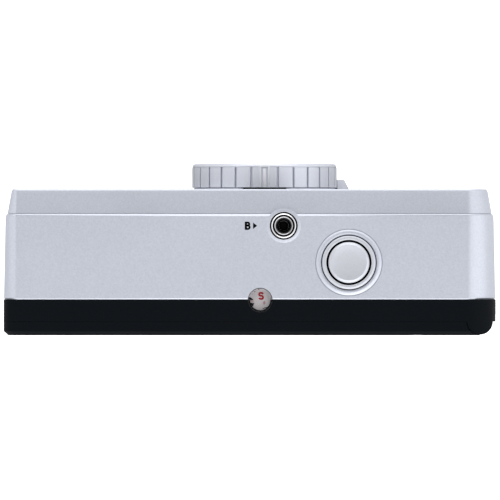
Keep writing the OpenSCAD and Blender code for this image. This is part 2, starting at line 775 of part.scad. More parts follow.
module flash_reflector() {
    color("silver") difference() {
        box(flash_x, [-12.3, -6.2], flash_z);
        translate([flash_x[0] + 1, -12.3, flash_mid[1]]) rotate([0, 90, 0]) cylinder(h = 16, r = 4.9);
        box(flash_x + [-1, 1], [-9.3, -6.7], about(flash_mid[1], 1.3));
    }
}

module flash_tube() {
    color([0.9, 0.92, 0.95, 0.6]) translate([flash_x[0] + 0.5, -8, flash_mid[1]]) rotate([0, 90, 0])
        cylinder(h = 17, r = 1.15);
}

module flash_capacitor() {
    color([0.12, 0.13, 0.2]) {
        rod_z([battery_at[0], -7.9], [9, 37], 3.5);
        for (s = [-1, 1]) rod_z([battery_at[0] + s * 1.6, -7.9], [37, 39.5], 0.35);
    }
}

module circuit_board() {
    color([0.1, 0.35, 0.2]) {
        box([9.5, 22.4], [-4.2, -3.2], [8, 44]);
        // Transformer, transistor and resistors on the board
        box([9.7, 12.4], [-3.2, -2], [34, 40]);
        box([19.8, 22], [-6.4, -4.2], [12, 15.5]);
        for (z = [20, 24, 28]) box([20.3, 21.7], [-5.2, -4.2], [z, z + 2.8]);
    }
}

module ready_lamp() {
    color([0.9, 0.25, 0.1]) {
        rod_y([5.5, 53], [10.5, 18.6], 1.25);
        rod_y([5.5, 53], [9.3, 10.5], 1.6);
    }
}

module battery_holder() {
    color([0.08, 0.08, 0.085]) difference() {
        union() {
            rod_z(battery_at, [2.4, 50.9], battery_r + 1);
            // Feet on the floor of the cover, and ribs that hold the circuit board
            box([8.6, 24.4], [1.6, 5.6], [wall_base, 4]);
            for (x = [11, 20.5]) box([x, x + 1.5], [-3.2, 2], [9, 32]);
        }
        rod_z(battery_at, [1, 50.1], battery_r + 0.2);
        rod_z(battery_at, [50, 52], 2);
        box(battery_mouth_x, battery_mouth_y, [1, 2.4]);
    }
}

module battery() {
    color([0.75, 0.62, 0.3]) {
        rod_z(battery_at, [battery_z[0], battery_z[1] - 0.8], battery_r);
        rod_z(battery_at, [battery_z[1] - 0.8, battery_z[1]], 1.9);
    }
}

module battery_contact() {
    color("gainsboro") {
        rod_z(battery_at, [battery_z[1], battery_z[1] + 0.3], 3.6);
        rod_z(battery_at, [battery_z[1] + 0.3, 51.3], 0.9);
    }
}

battery_hinge = [-3, 1];

module battery_door() {
    color("silver") difference() {
        union() {
            box(battery_mouth_x + [0.15, -0.15], [battery_hinge[0], 9.85], [0.15, 1.75]);
            translate([battery_mouth_x[0] + 0.15, battery_hinge[0], battery_hinge[1]]) rotate([0, 90, 0])
                cylinder(h = battery_mouth_x[1] - battery_mouth_x[0] - 0.3, r = 0.85);
            box([15, 18], [8.9, 9.7], [1.7, 1.95]);
        }
        for (x = [12.5:1:20.5]) box([x, x + 0.4], [6.6, 9], [-1, 0.4]);
        translate([0, battery_hinge[0], battery_hinge[1]]) rotate([0, 90, 0]) cylinder(h = 40, r = 0.4);
    }
    color("gainsboro") translate([battery_mouth_x[0] - 0.9, battery_hinge[0], battery_hinge[1]])
        rotate([0, 90, 0]) cylinder(h = battery_mouth_x[1] - battery_mouth_x[0] + 1.8, r = 0.4);
}

module battery_spring() {
    color("gainsboro") translate([battery_at[0], battery_at[1], 1.75]) spring(3.2, 0.3, 3, 3.25, 6, 12);
}

// ---- Controls on the deck ----

module shutter_button() {
    color("gainsboro") {
        difference() {
            rod_z(button_at, [deck_z - 1.1, deck_z + 1], button_r);
            rod_z(button_at, [deck_z - 2, deck_z], button_r - 0.75);
            // Dished top
            translate([button_at[0], button_at[1], deck_z + 1 + 39.7]) sphere(40);
        }
        rod_z(button_at, [56.6, deck_z + 0.05], 1.6);
    }
}

module button_collar() {
    color("silver") {
        difference() {
            rotate_at(button_at) polygon([[5.03, 58.5], [5.65, 58.5],
                [5.65, deck_z + 0.25], [6.2, deck_z + 0.25], [6.2, deck_z + 0.35],
                [5.5, deck_z + 0.6], [5.03, deck_z + 0.6]]);
        }
        tube_z(button_at, [58, 58.6], 5.65, 1.7);
    }
}

// Turns an outline of radius against height round a vertical axis at a place in X and Y
module rotate_at(at) {
    translate([at[0], at[1], 0]) rotate_extrude($fn = 96) children();
}

module button_spring() {
    color("gainsboro") translate([button_at[0], button_at[1], 58.6]) spring(2.6, 0.2, 3, 2.4, 6, 12);
}

// Threaded metal bush that takes a cable release
module cable_socket() {
    color("silver") rotate_at(cable_at) polygon([[1.1, 55.3], [2.3, 55.3],
        [2.3, deck_z - 0.15], [2.1, deck_z], [cable_bore_r, deck_z - 0.5], [cable_bore_r, 57.8], [1.1, 57.8]]);
}

// Black bezel between the bush and the deck, inside a thin bright ring
module socket_trim() {
    color([0.05, 0.05, 0.055]) difference() {
        rod_z(cable_at, [59.2, deck_z + 0.1], 3.1);
        rod_z(cable_at, [58, 62], 2.32);
    }
}

// Pin that the cable release pushes down
module cable_plunger() {
    color("silver") {
        rod_z(cable_at, [56.5, 57.4], 1.03);
        rod_z(cable_at, [57.3, 57.7], 0.7);
    }
}

module counter_window() {
    color([0.8, 0.85, 0.88, 0.35]) rod_z(window_at, [deck_z - 1.15, deck_z], window_r - 0.03);
}

// Counter dial over a ratchet wheel that the sprocket's finger turns
module counter_dial() {
    color("white") difference() {
        union() {
            rod_z(counter_at, [58.2, 58.7], dial_r);
            translate([counter_at[0], counter_at[1], 57]) linear_extrude(1.25)
                knurled(8.8, ratchet_teeth, 0.6);
        }
        rod_z(counter_at, [56, 59], 1.05);
    }
}

// ---- Film transport ----

module advance_wheel() {
    color([0.08, 0.08, 0.085]) difference() {
        translate([spool_at[0], spool_at[1], 54]) linear_extrude(3.8) knurled(wheel_r, 56, 0.5);
        rod_z(spool_at, [53, 59], 1.5);
        tube_z(spool_at, [56.8, 59], 10.6, 4);
    }
}

module spool_gear() {
    color("gainsboro") gear_z(spool_at, [51.7, 53.2], spool_teeth, gear_mod, train_angle, 1.5);
}

module take_up_spool() {
    color([0.1, 0.1, 0.105]) {
        rod_z(spool_at, [9.9, 57.8], 1.5);
        difference() {
            rod_z(spool_at, [11.3, 49.7], 5.3);
            // Slots that catch the end of the film
            for (a = [0:60:300]) translate([spool_at[0], spool_at[1], 14]) rotate([0, 0, a])
                translate([3.6, -0.5, 0]) cube([3, 1, 33]);
        }
        for (a = [0, 180]) for (z = [16.4, 44.6]) translate([spool_at[0], spool_at[1], z])
            rotate([0, 0, a + 30]) translate([4.8, -0.5, -0.6]) cube([1.4, 1, 1.2]);
    }
}

module idler_gear() {
    color("gainsboro")
        gear_z(idler_at, [51.7, 53.2], idler_teeth, gear_mod, train_angle + 180 / idler_teeth, 1.05);
}

// Eight-toothed sprocket at each edge of the film, with the counter's drive finger on top
module sprocket() {
    color([0.1, 0.1, 0.105]) {
        rod_z(sprocket_at, [10.2, 57.6], 1.2);
        rod_z(sprocket_at, [13, 48], 3.6);
        for (z = [[13.2, 16.9], [44.1, 47.8]]) rod_z(sprocket_at, z, 6.05);
        for (z = [15.9, 45.1]) for (i = [0:7]) translate([sprocket_at[0], sprocket_at[1], z])
            rotate([0, 0, i * 45]) translate([5.6, -0.7, -0.5]) cube([1.55, 1.4, 1]);
        translate([sprocket_at[0], sprocket_at[1], 57]) rotate([0, 0, 180])
            translate([0, -0.5, 0]) cube([2.9, 1, 0.6]);
    }
}

module sprocket_gear() {
    color("gainsboro") gear_z(sprocket_at, [51.7, 53.2], sprocket_teeth, gear_mod, train_angle, 1.2);
}

// Metal strap that carries the tops of the gear shafts
module gear_plate() {
    color("silver") difference() {
        translate([0, 0, 53.45]) linear_extrude(0.35) {
            for (p = [spool_at, idler_at, sprocket_at]) translate(p) circle(3.2);
            translate(spool_at) rotate(train_angle) translate([0, -2.2]) square([train_length, 4.4]);
        }
        rod_z(spool_at, [53, 54], 1.55);
        rod_z(sprocket_at, [53, 54], 1.25);
    }
}

// ---- Rewind ----

crank_pivot = [cassette[0] + 4.6, 1];
grip_x = cassette[0] - 3;

module rewind_knob() {
    color("silver") {
        difference() {
            rod_z(cassette, [1.8, crank_cup_top - 0.1], 5.95);
            rod_z([grip_x, cassette[1]], [1, 4], 1.9);
        }
        rod_z(cassette, [3.2, 8.6], 2.05);
        // Fork that turns the film spool
        box(about(cassette[0], 2), about(cassette[1], 0.5), [8.5, 11.5]);
        // Ears for the crank's pin
        for (s = [-1, 1]) box(about(crank_pivot[0], 0.7), about(cassette[1] + s * 2.4, 0.3), [0.2, 1.9]);
        rod_y(crank_pivot, about(cassette[1], 2.5), 0.4);
    }
}

// Folding crank on the pin between the knob's ears
module rewind_crank() {
    color("silver") difference() {
        union() {
            box([grip_x, crank_pivot[0] - 0.5], about(cassette[1], 1.9), [0.4, 1.5]);
            rod_z([grip_x, cassette[1]], [0.4, 1.5], 1.9);
            rod_y(crank_pivot, about(cassette[1], 1.9), 0.75);
        }
        rod_z([grip_x, cassette[1]], [0, 2], 0.75);
        rod_y(crank_pivot, about(cassette[1], 3), 0.45);
    }
}

// Turning grip on the end of the crank, stowed in the knob
module crank_grip() {
    at = [grip_x, cassette[1]];
    color([0.1, 0.1, 0.105]) {
        rod_z(at, [1.6, 3.1], 1.5);
        rod_z(at, [0.4, 1.7], 0.7);
    }
}

module rewind_release() {
    color([0.1, 0.1, 0.105]) {
        rod_z(sprocket_at, [0.3, 2], 1.9);
        rod_z(sprocket_at, [1.9, 2.8], 2.7);
        rod_z(sprocket_at, [2.7, 8.9], 1.2);
    }
}

// ---- Fittings ----

module tripod_socket() {
    color("silver") difference() {
        union() {
            rod_z([lens_x, 0], [0, 2], 4.5);
            rod_z([lens_x, 0], [wall_base, 8], 5.4);
        }
        rod_z([lens_x, 0], [-1, 6.5], tripod_bore_r);
    }
}

module strap_bar() {
    color("silver") rod_z([-half_w + 1.5, 2], strap_z, 0.9);
}

module screw_z(at, z) {
    difference() {
        union() {
            rod_z(at, z, 0.88);
            rod_z(at, [z[0], z[0] + 0.55], 1.75);
        }
        for (a = [0, 90]) translate([at[0], at[1], z[0]]) rotate([0, 0, a]) cube([2, 0.4, 0.6], center = true);
    }
}

module case_screws() {
    color("silver") {
        for (p = base_screws) screw_z(p, [0.3, 5]);
        translate([half_w - 0.35, side_screws[0][1], side_screws[0][0]]) rotate([0, -90, 0]) screw_z([0, 0], [0, 3.4]);
        translate([-half_w + 0.35, side_screws[1][1], side_screws[1][0]]) rotate([0, 90, 0]) screw_z([0, 0], [0, 3.4]);
    }
}

front_cover();
front_panel();
grip_panel();
main_body();
back_door();
door_seal();
pressure_plate();
pressure_spring();
hinge_pin();
door_latch();
latch_spring();
mode_ring();
lens_barrel();
lens_trim();
front_lens();
rear_lens();
filter_lever();
filter_arm();
star_filter();
shutter_plate();
aperture_plate();
shutter_blade();
blade_spring();
release_lever();
viewfinder_tunnel();
viewfinder_window();
eyepiece_lens();
flash_window();
flash_reflector();
flash_tube();
flash_capacitor();
circuit_board();
ready_lamp();
battery_holder();
battery();
battery_contact();
battery_door();
battery_spring();
shutter_button();
button_collar();
button_spring();
cable_socket();
socket_trim();
cable_plunger();
counter_window();
counter_dial();
advance_wheel();
spool_gear();
take_up_spool();
idler_gear();
sprocket();
sprocket_gear();
gear_plate();
rewind_knob();
rewind_crank();
crank_grip();
rewind_release();
tripod_socket();
strap_bar();
case_screws();
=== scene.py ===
# %% [markdown]
# # Compact half-frame film camera
# A small silver and black film camera, seen from straight above the top deck.
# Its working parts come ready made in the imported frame. This script adds the looks: fine meshes for the
# outside pieces, and a detailed material for every piece.
# The frame is in metres with +Z up. The lens faces -Y, and the shutter button is at the -X end.

# %% Setup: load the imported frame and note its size
import json
import math
import bmesh
import bpy
from mathutils import Matrix, Vector

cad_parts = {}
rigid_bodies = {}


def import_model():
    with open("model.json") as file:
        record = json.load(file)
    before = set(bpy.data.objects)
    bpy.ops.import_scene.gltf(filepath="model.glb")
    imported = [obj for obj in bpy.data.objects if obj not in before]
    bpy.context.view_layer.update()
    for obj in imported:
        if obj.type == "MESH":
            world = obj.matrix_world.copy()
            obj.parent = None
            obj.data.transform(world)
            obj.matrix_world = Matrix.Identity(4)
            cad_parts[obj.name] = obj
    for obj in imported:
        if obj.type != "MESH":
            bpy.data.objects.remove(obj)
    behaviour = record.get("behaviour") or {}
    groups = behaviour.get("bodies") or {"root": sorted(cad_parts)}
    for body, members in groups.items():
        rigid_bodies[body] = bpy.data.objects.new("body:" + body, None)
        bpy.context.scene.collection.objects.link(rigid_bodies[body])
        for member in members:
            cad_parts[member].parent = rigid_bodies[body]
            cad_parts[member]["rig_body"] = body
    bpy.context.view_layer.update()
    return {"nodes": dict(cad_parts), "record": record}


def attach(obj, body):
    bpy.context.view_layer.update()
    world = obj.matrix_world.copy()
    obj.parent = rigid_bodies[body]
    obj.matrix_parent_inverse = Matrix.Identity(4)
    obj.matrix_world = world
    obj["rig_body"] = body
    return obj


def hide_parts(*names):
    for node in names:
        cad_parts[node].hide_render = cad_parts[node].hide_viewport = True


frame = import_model()
MM = 0.001

# %% [markdown]
# ## Sizes
# These are the main dimensions of the camera, in millimetres. Whole pieces take their places from them, so
# that neighbours stay in line. The profiles of small turned parts keep heights of their own, near the deck.
# Points are given in millimetres, and scaled when a mesh is made.

# %% Dimensions
HALF_W = 55.0
DECK = 61.0
Y_FRONT, Y_STEP, Y_SEAM = -13.4, -7.8, 11.3
LENS = (-3.3, 30.5)
RING_R, RING_BACK, RING_FRONT = 16.35, -13.85, -19.25
BUTTON = (-22.1, 3.0)
SOCKET = (-7.55, -5.2)
WINDOW, WINDOW_R = (-2.3, 11.4), 2.75
DIAL = (-6.5, 6.55)
CRANK, CRANK_CUP_R = (37.6, 3.9), 6.2
print("case:", 2 * HALF_W, "mm wide, with its deck at", DECK, "mm")

# %% [markdown]
# ## Closed meshes from points
# Every piece starts as a list of points and faces. Blender's ready-made cylinders and cubes would do for a
# rough block, but a camera's edges have small steps and rims, so each shape is built from its own profile.
# Doubled points are merged and faces turned outwards at once, because the cuts to come need a closed mesh.

# %% Helpers: a mesh from points
MERGE = 1e-7


def tidy(obj):
    bm = bmesh.new()
    bm.from_mesh(obj.data)
    bmesh.ops.remove_doubles(bm, verts=bm.verts, dist=MERGE)
    bmesh.ops.recalc_face_normals(bm, faces=bm.faces)
    bm.to_mesh(obj.data)
    bm.free()


def make(name, verts, faces):
    """A mesh object from points in millimetres, with its faces turned outwards."""
    mesh = bpy.data.meshes.new(name)
    mesh.from_pydata([Vector(v) * MM for v in verts], [], faces)
    obj = bpy.data.objects.new(name, mesh)
    bpy.context.scene.collection.objects.link(obj)
    tidy(obj)
    return obj


def along(axis, a, b, station):
    """Places a flat point at a station along the z, y or x axis."""
    return {"z": (a, b, station), "y": (a, station, b), "x": (station, a, b)}[axis]


print("points closer than", MERGE, "m are merged")

# %% Helpers: lofts, blocks and prisms
def loft(name, rings, closed=False):
    """Joins rings of equal length with quads. Open lofts get flat end caps."""
    n = len(rings[0])
    verts = [p for ring in rings for p in ring]
    faces = []
    for i in range(len(rings) if closed else len(rings) - 1):
        a, b = i * n, (i + 1) % len(rings) * n
        faces += [(a + k, a + (k + 1) % n, b + (k + 1) % n, b + k) for k in range(n)]
    if not closed:
        faces += [tuple(reversed(range(n))), tuple(range(len(verts) - n, len(verts)))]
    return make(name, verts, faces)


def block(name, x, y, z):
    verts = [(a, b, c) for a in x for b in y for c in z]
    faces = [(0, 1, 3, 2), (4, 6, 7, 5), (0, 4, 5, 1), (2, 3, 7, 6), (0, 2, 6, 4), (1, 5, 7, 3)]
    return make(name, verts, faces)


def prism(name, outline, span, axis="z"):
    """Extrudes a flat outline between two stations along an axis."""
    return loft(name, [[along(axis, *p, station) for p in outline] for station in span])


print("straight shapes ready")

# %% Helper: turned shapes
ON_AXIS = 1e-6


def revolve(name, profile, at, axis="z", segments=96, closed=True):
    """Turns a profile of (radius, station) round an axis along z, y or x.
    An open profile starts and ends on the axis."""
    verts, rows = [], []
    for r, h in profile:
        row = []
        for k in range(segments if r > ON_AXIS else 1):
            a = 2 * math.pi * k / segments
            row.append(len(verts))
            verts.append(along(axis, at[0] + r * math.cos(a), at[1] + r * math.sin(a), h))
        rows.append(row)
    faces = []
    pairs = list(zip(rows, rows[1:])) + ([(rows[-1], rows[0])] if closed else [])
    for p, q in pairs:
        for k in range(segments):
            n = (k + 1) % segments
            if len(p) > 1 and len(q) > 1:
                faces.append((p[k], p[n], q[n], q[k]))
            elif len(q) > 1:
                faces.append((p[0], q[n], q[k]))
            elif len(p) > 1:
                faces.append((p[k], p[n], q[0]))
    return make(name, verts, faces)


print("turned shapes ready")

# %% [markdown]
# ## Cutting and rounding
# Openings are cut with booleans, as a mill would cut them, and edges are rounded with a bevel afterwards.
# A moulded or pressed edge is never quite sharp, and the small round is what catches the light.
# Modifiers are applied at once, so that every finished piece is a plain mesh.

# %% Helpers: apply modifiers and cut
def bake(obj):
    """Applies the object's modifiers and keeps a plain mesh."""
    graph = bpy.context.evaluated_depsgraph_get()
    evaluated = obj.evaluated_get(graph)
    mesh = bpy.data.meshes.new_from_object(evaluated, preserve_all_data_layers=True, depsgraph=graph)
    old = obj.data
    obj.modifiers.clear()
    obj.data = mesh
    bpy.data.meshes.remove(old)
    return obj


def drop(*objs):
    for obj in objs:
        mesh = obj.data
        bpy.data.objects.remove(obj)
        bpy.data.meshes.remove(mesh)


def cut(obj, tools):
    """Cuts the tools out one after another, then removes them."""
    for tool in tools:
        m = obj.modifiers.new("cut", "BOOLEAN")
        m.operation = "DIFFERENCE"
        m.solver = "EXACT"
        m.object = tool
    bake(obj)
    drop(*tools)
    return obj


print("cutting ready")

# %% Helpers: smooth shading and rounded edges
SEAM_MERGE = 2e-6
CREASE_WEIGHT = 60


def flatten(obj, degrees=0.6):
    """Merges faces that lie in one plane, so that bevels run cleanly."""
    bm = bmesh.new()
    bm.from_mesh(obj.data)
    bmesh.ops.remove_doubles(bm, verts=bm.verts, dist=SEAM_MERGE)
    bmesh.ops.dissolve_limit(bm, angle_limit=math.radians(degrees), verts=bm.verts, edges=bm.edges)
    bm.to_mesh(obj.data)
    bm.free()
    return obj


def smooth(obj, angle=32):
    """Smooth shading with creases kept sharp and flat faces kept flat."""
    obj.data.shade_smooth()
    obj.data.set_sharp_from_angle(angle=math.radians(angle))
    m = obj.modifiers.new("even", "WEIGHTED_NORMAL")
    m.keep_sharp = True
    m.weight = CREASE_WEIGHT
    return bake(obj)


def soften(obj, width, segments=2, angle=35):
    """Rounds every edge sharper than the angle by a width in millimetres."""
    m = obj.modifiers.new("soften", "BEVEL")
    m.width = width * MM
    m.segments = segments
    m.limit_method = "ANGLE"
    m.angle_limit = math.radians(angle)
    m.harden_normals = False
    m.miter_outer = "MITER_ARC"
    bake(obj)
    return smooth(obj, angle=50)


print("rounding ready")

# %% Helpers: hand a finished piece over
TURN_STEPS = 128


def piece(obj, body, slot, material, *nodes):
    """Hands a finished piece to its body, in place of the nodes it stands for."""
    obj.data.materials.clear()
    obj.data.materials.append(material)
    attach(obj, body)
    if nodes:
        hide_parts(*nodes)
    return obj


def rounded(node, slot, material, width=0.12, segments=2):
    """A copy of a CAD node with its edges rounded, standing in for it."""
    source = frame["nodes"][node]
    obj = bpy.data.objects.new("fine_" + node, source.data.copy())
    bpy.context.scene.collection.objects.link(obj)
    flatten(obj)
    soften(obj, width, segments)
    return piece(obj, source["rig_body"], slot, material, node)


def turned(name, slot, material, profile, at, body="camera", nodes=(), closed=True, angle=32):
    """A finished piece turned round an upright axis."""
    obj = smooth(revolve(name, profile, at, "z", TURN_STEPS, closed), angle)
    return piece(obj, body, slot, material, *nodes)


print("finishing helpers ready")

# %% [markdown]
# ## The shared grain
# Lacquer, moulded plastic and turned metal all vary a little from place to place. The variation could be
# painted as an image, but noise in a node group needs no file and stays sharp at any distance.
# Fine flecks make the metallic lacquer sparkle and give relief. Soft blotches shift colour and roughness.

# %% Shared grain group
GRAIN_INPUTS = (
    ("Color", "NodeSocketColor", (0.5, 0.5, 0.5, 1)), ("Fleck scale", "NodeSocketFloat", 3000.0),
    ("Fleck amount", "NodeSocketFloat", 0.1), ("Roughness", "NodeSocketFloat", 0.4),
    ("Blotch scale", "NodeSocketFloat", 60.0), ("Blotch amount", "NodeSocketFloat", 0.05),
    ("Relief", "NodeSocketFloat", 0.1), ("Stretch", "NodeSocketVector", (1, 1, 1)),
)
GRAIN_OUTPUTS = (
    ("Color", "NodeSocketColor"), ("Roughness", "NodeSocketFloat"), ("Normal", "NodeSocketVector"),
)
RELIEF_DEPTH = 0.00002


def build_grain():
    group = bpy.data.node_groups.new("grain", "ShaderNodeTree")
    for name, kind, default in GRAIN_INPUTS:
        socket = group.interface.new_socket(name=name, in_out="INPUT", socket_type=kind)
        socket.default_value = default
    for name, kind in GRAIN_OUTPUTS:
        group.interface.new_socket(name=name, in_out="OUTPUT", socket_type=kind)
    n, link = group.nodes, group.links.new
    inp, out = n.new("NodeGroupInput"), n.new("NodeGroupOutput")
    coord = n.new("ShaderNodeTexCoord")
    stretch = n.new("ShaderNodeVectorMath")
    stretch.operation = "MULTIPLY"
    link(coord.outputs["Object"], stretch.inputs[0])
    link(inp.outputs["Stretch"], stretch.inputs[1])
    fleck = n.new("ShaderNodeTexNoise")
    fleck.inputs["Detail"].default_value = 3
    fleck.inputs["Roughness"].default_value = 0.65
    link(stretch.outputs[0], fleck.inputs["Vector"])
    link(inp.outputs["Fleck scale"], fleck.inputs["Scale"])
    blotch = n.new("ShaderNodeTexNoise")
    blotch.inputs["Detail"].default_value = 4
    link(coord.outputs["Object"], blotch.inputs["Vector"])
    link(inp.outputs["Blotch scale"], blotch.inputs["Scale"])

    def centred(source, amount):
        """The noise as a swing about zero, times its amount."""
        shift = n.new("ShaderNodeMath")
        shift.operation = "SUBTRACT"
        link(source, shift.inputs[0])
        shift.inputs[1].default_value = 0.5
        scale = n.new("ShaderNodeMath")
        scale.operation = "MULTIPLY"
        link(shift.outputs[0], scale.inputs[0])
        link(amount, scale.inputs[1])
        return scale.outputs[0]

    both = n.new("ShaderNodeMath")
    link(centred(fleck.outputs["Fac"], inp.outputs["Fleck amount"]), both.inputs[0])
    link(centred(blotch.outputs["Fac"], inp.outputs["Blotch amount"]), both.inputs[1])
    gain = n.new("ShaderNodeMath")
    link(both.outputs[0], gain.inputs[0])
    gain.inputs[1].default_value = 1.0
    tone = n.new("ShaderNodeVectorMath")
    tone.operation = "SCALE"
    link(inp.outputs["Color"], tone.inputs[0])
    link(gain.outputs[0], tone.inputs["Scale"])
    rough = n.new("ShaderNodeMath")
    rough.use_clamp = True
    link(inp.outputs["Roughness"], rough.inputs[0])
    link(centred(blotch.outputs["Fac"], inp.outputs["Blotch amount"]), rough.inputs[1])
    bump = n.new("ShaderNodeBump")
    bump.inputs["Distance"].default_value = RELIEF_DEPTH
    link(inp.outputs["Relief"], bump.inputs["Strength"])
    link(fleck.outputs["Fac"], bump.inputs["Height"])
    link(tone.outputs[0], out.inputs["Color"])
    link(rough.outputs[0], out.inputs["Roughness"])
    link(bump.outputs["Normal"], out.inputs["Normal"])
    return group


GRAIN = build_grain()
print("grain nodes:", len(GRAIN.nodes))

# %% [markdown]
# ## Finishes
# Each finish is one Principled material fed by the grain group, with its own colour and amounts.
# Values that are the same all over, such as metallic, are set on the shader itself, where the export reads them.

# %% Helper: a finish
def finish(name, color, rough, metallic=0.0, fleck=(3000.0, 0.1), blotch=(60.0, 0.05), relief=0.1,
           stretch=(1, 1, 1), **fixed):
    """A Principled material whose colour, roughness and relief come from the grain group.
    Fleck and blotch are each a (scale, amount)."""
    m = bpy.data.materials.new(name)
    m.use_nodes = True
    n, link = m.node_tree.nodes, m.node_tree.links.new
    shader = n["Principled BSDF"]
    grain = n.new("ShaderNodeGroup")
    grain.node_tree = GRAIN
    values = ((*color, 1), fleck[0], fleck[1], rough, blotch[0], blotch[1], relief, stretch)
    for (key, _, _), value in zip(GRAIN_INPUTS, values):
        grain.inputs[key].default_value = value
    link(grain.outputs["Color"], shader.inputs["Base Color"])
    link(grain.outputs["Roughness"], shader.inputs["Roughness"])
    link(grain.outputs["Normal"], shader.inputs["Normal"])
    shader.inputs["Metallic"].default_value = metallic
    for key, value in fixed.items():
        shader.inputs[key.replace("_", " ")].default_value = value
    return m


print("finishes start from", len(GRAIN_INPUTS), "grain inputs")

# %% Lacquers, plastics and rubber
SILVER = finish("silver_lacquer", (0.55, 0.575, 0.635), 0.42, metallic=0.7, fleck=(2600, 0.34),
                blotch=(90, 0.04), relief=0.25)
RING_SILVER = finish("ring_lacquer", (0.69, 0.71, 0.765), 0.42, metallic=0.5, fleck=(3200, 0.12),
                     blotch=(120, 0.03), relief=0.1)
CAP_SILVER = finish("cap_lacquer", (0.55, 0.565, 0.605), 0.42, metallic=0.6, fleck=(3000, 0.2),
                    blotch=(110, 0.03), relief=0.15)
BLACK = finish("black_plastic", (0.0022, 0.0034, 0.0048), 0.5, fleck=(2600, 0.5), blotch=(70, 0.12),
               relief=0.35, Specular_IOR_Level=0.05)
# Black trim. It is also used as painted shade on the nut's teeth and on the lining of the counter window.
BLACK_TRIM_AND_SHADE = finish("black_trim_and_shade", (0.005, 0.0055, 0.007), 0.34, fleck=(3000, 0.3), blotch=(90, 0.1),
                    relief=0.15, Specular_IOR_Level=0.35)
GRIP = finish("grip_rubber", (0.012, 0.012, 0.013), 0.62, fleck=(1800, 0.6), blotch=(120, 0.2), relief=0.6)
FOAM = finish("seal_foam", (0.008, 0.008, 0.008), 0.95, fleck=(1500, 0.9), relief=1.0)
print("lacquers and plastics:", len(bpy.data.materials))

# %% Metals and inside parts
STEEL = finish("brushed_steel", (0.58, 0.585, 0.60), 0.28, metallic=1.0, fleck=(900, 0.16),
               blotch=(140, 0.08), relief=0.3, stretch=(0.08, 1, 1))
BRIGHT = finish("bright_nickel", (0.78, 0.78, 0.79), 0.16, metallic=1.0, fleck=(1500, 0.05), relief=0.05)
DARK_STEEL = finish("blackened_steel", (0.05, 0.05, 0.055), 0.4, metallic=0.8, fleck=(1500, 0.2))
GEAR = finish("gear_plastic", (0.62, 0.61, 0.56), 0.45, fleck=(1200, 0.06), blotch=(100, 0.08))
BOARD = finish("circuit_board", (0.012, 0.11, 0.045), 0.35, fleck=(700, 0.35), blotch=(500, 0.5))
SLEEVE = finish("capacitor_sleeve", (0.012, 0.016, 0.05), 0.3, fleck=(900, 0.2))
CELL = finish("battery_label", (0.32, 0.19, 0.035), 0.3, metallic=0.6, fleck=(900, 0.1), blotch=(60, 0.15))
print("with metals:", len(bpy.data.materials))

# %% Inks, lamp and mirror
DIAL_WHITE = finish("dial_print", (0.9, 0.84, 0.85), 0.5, fleck=(1500, 0.06), blotch=(300, 0.1))
INK_RED = finish("red_ink", (0.5, 0.008, 0.02), 0.5, fleck=(2500, 0.2))
INK_BLACK = finish("black_ink", (0.002, 0.002, 0.003), 0.5, fleck=(2500, 0.3), Specular_IOR_Level=0.05)
INDEX_WHITE = finish("index_white", (0.74, 0.75, 0.78), 0.5, fleck=(2500, 0.05))
CONE = finish("turned_steel", (0.5, 0.5, 0.51), 0.3, metallic=1.0, fleck=(1500, 0.08), relief=0.1)
LAMP = finish("lamp_red", (0.55, 0.04, 0.015), 0.18, fleck=(800, 0.1), Transmission_Weight=0.4)
MIRROR = finish("reflector", (0.88, 0.89, 0.91), 0.07, metallic=1.0, fleck=(500, 0.03), relief=0.02)
print("with inks:", len(bpy.data.materials))

# %% Glass and clear plastic
def glass(name, tint, rough=0.03):
    return finish(name, tint, rough, fleck=(400, 0.02), blotch=(40, 0.02), relief=0.01,
                  Transmission_Weight=1.0, IOR=1.5)


GLASS = glass("coated_glass", (0.86, 0.90, 0.97))
CLEAR = glass("clear_plastic", (0.93, 0.94, 0.95), rough=0.08)
# The counter window is thin and flat, so a faint dark film shows the dial better than bent light would
THIN_CLEAR = finish("thin_clear", (0.02, 0.02, 0.022), 0.05, fleck=(400, 0.02), blotch=(40, 0.02),
                    relief=0.01, Alpha=0.14)
# Painted shade: this near-black finish lines the button's well and the socket's bore, and darkens the plunger,
# where only shade falls. The socket's bezel is really black.
BLACK_AND_PAINTED_SHADE = finish("black_and_painted_shade", (0.0015, 0.0015, 0.002), 0.6, fleck=(2000, 0.3), Specular_IOR_Level=0.1)
print("materials:", len(bpy.data.materials))

# %% [markdown]
# ## Case outlines
# The case is a rounded oblong seen from the front, with a larger edge radius at the grip end. It could be a
# bevelled cube, but its edges differ from end to end. So one function gives the outline at any inset, and
# rings of it along the depth make the shells. Each corner meets the deck at a slight angle, which draws a
# fine line there.

# %% Case outline
EDGE_TILT = math.radians(11)
PLAIN_EDGE, GRIP_EDGE = 3.0, 6.5
EDGE_STEPS = 10


def outline(side, top, base):
    """Points round the case at given insets, anticlockwise in X and Z from the left-hand top corner."""
    x, z0, z1 = HALF_W - side, base, DECK - top
    small, big = max(PLAIN_EDGE - side, 0.6), max(GRIP_EDGE - side, 0.8)
    points = []
    for cz, width, sx, sz in ((z1, small, 1, 1), (z1, big, -1, 1), (z0, big, -1, -1), (z0, small, 1, -1)):
        r = width / (1 - math.sin(EDGE_TILT))
        corner = []
        for k in range(EDGE_STEPS + 1):
            a = (math.pi / 2 - EDGE_TILT) * k / EDGE_STEPS
            drop_in = r * (math.cos(EDGE_TILT) - math.sin(a))
            corner.append((sx * (x - r + r * math.cos(a)), cz - sz * drop_in))
        points += corner if sx == sz else corner[::-1]
    return points


def ring_at(y, side, top, base):
    return [(x, y, z) for x, z in outline(side, top, base)]


print("outline points:", len(outline(0, 0, 0)))

# %% [markdown]
# ## Silver cover and front panel
# The cover is a sleeve from the step back to the rear seam, with a small flat bevel at each end.
# The tapered front panel seats inside it, half a millimetre lower, so a bright edge and a fine crease run
# between them. The bevels are rings of their own, because a bevel modifier would round them and spread the
# highlight.

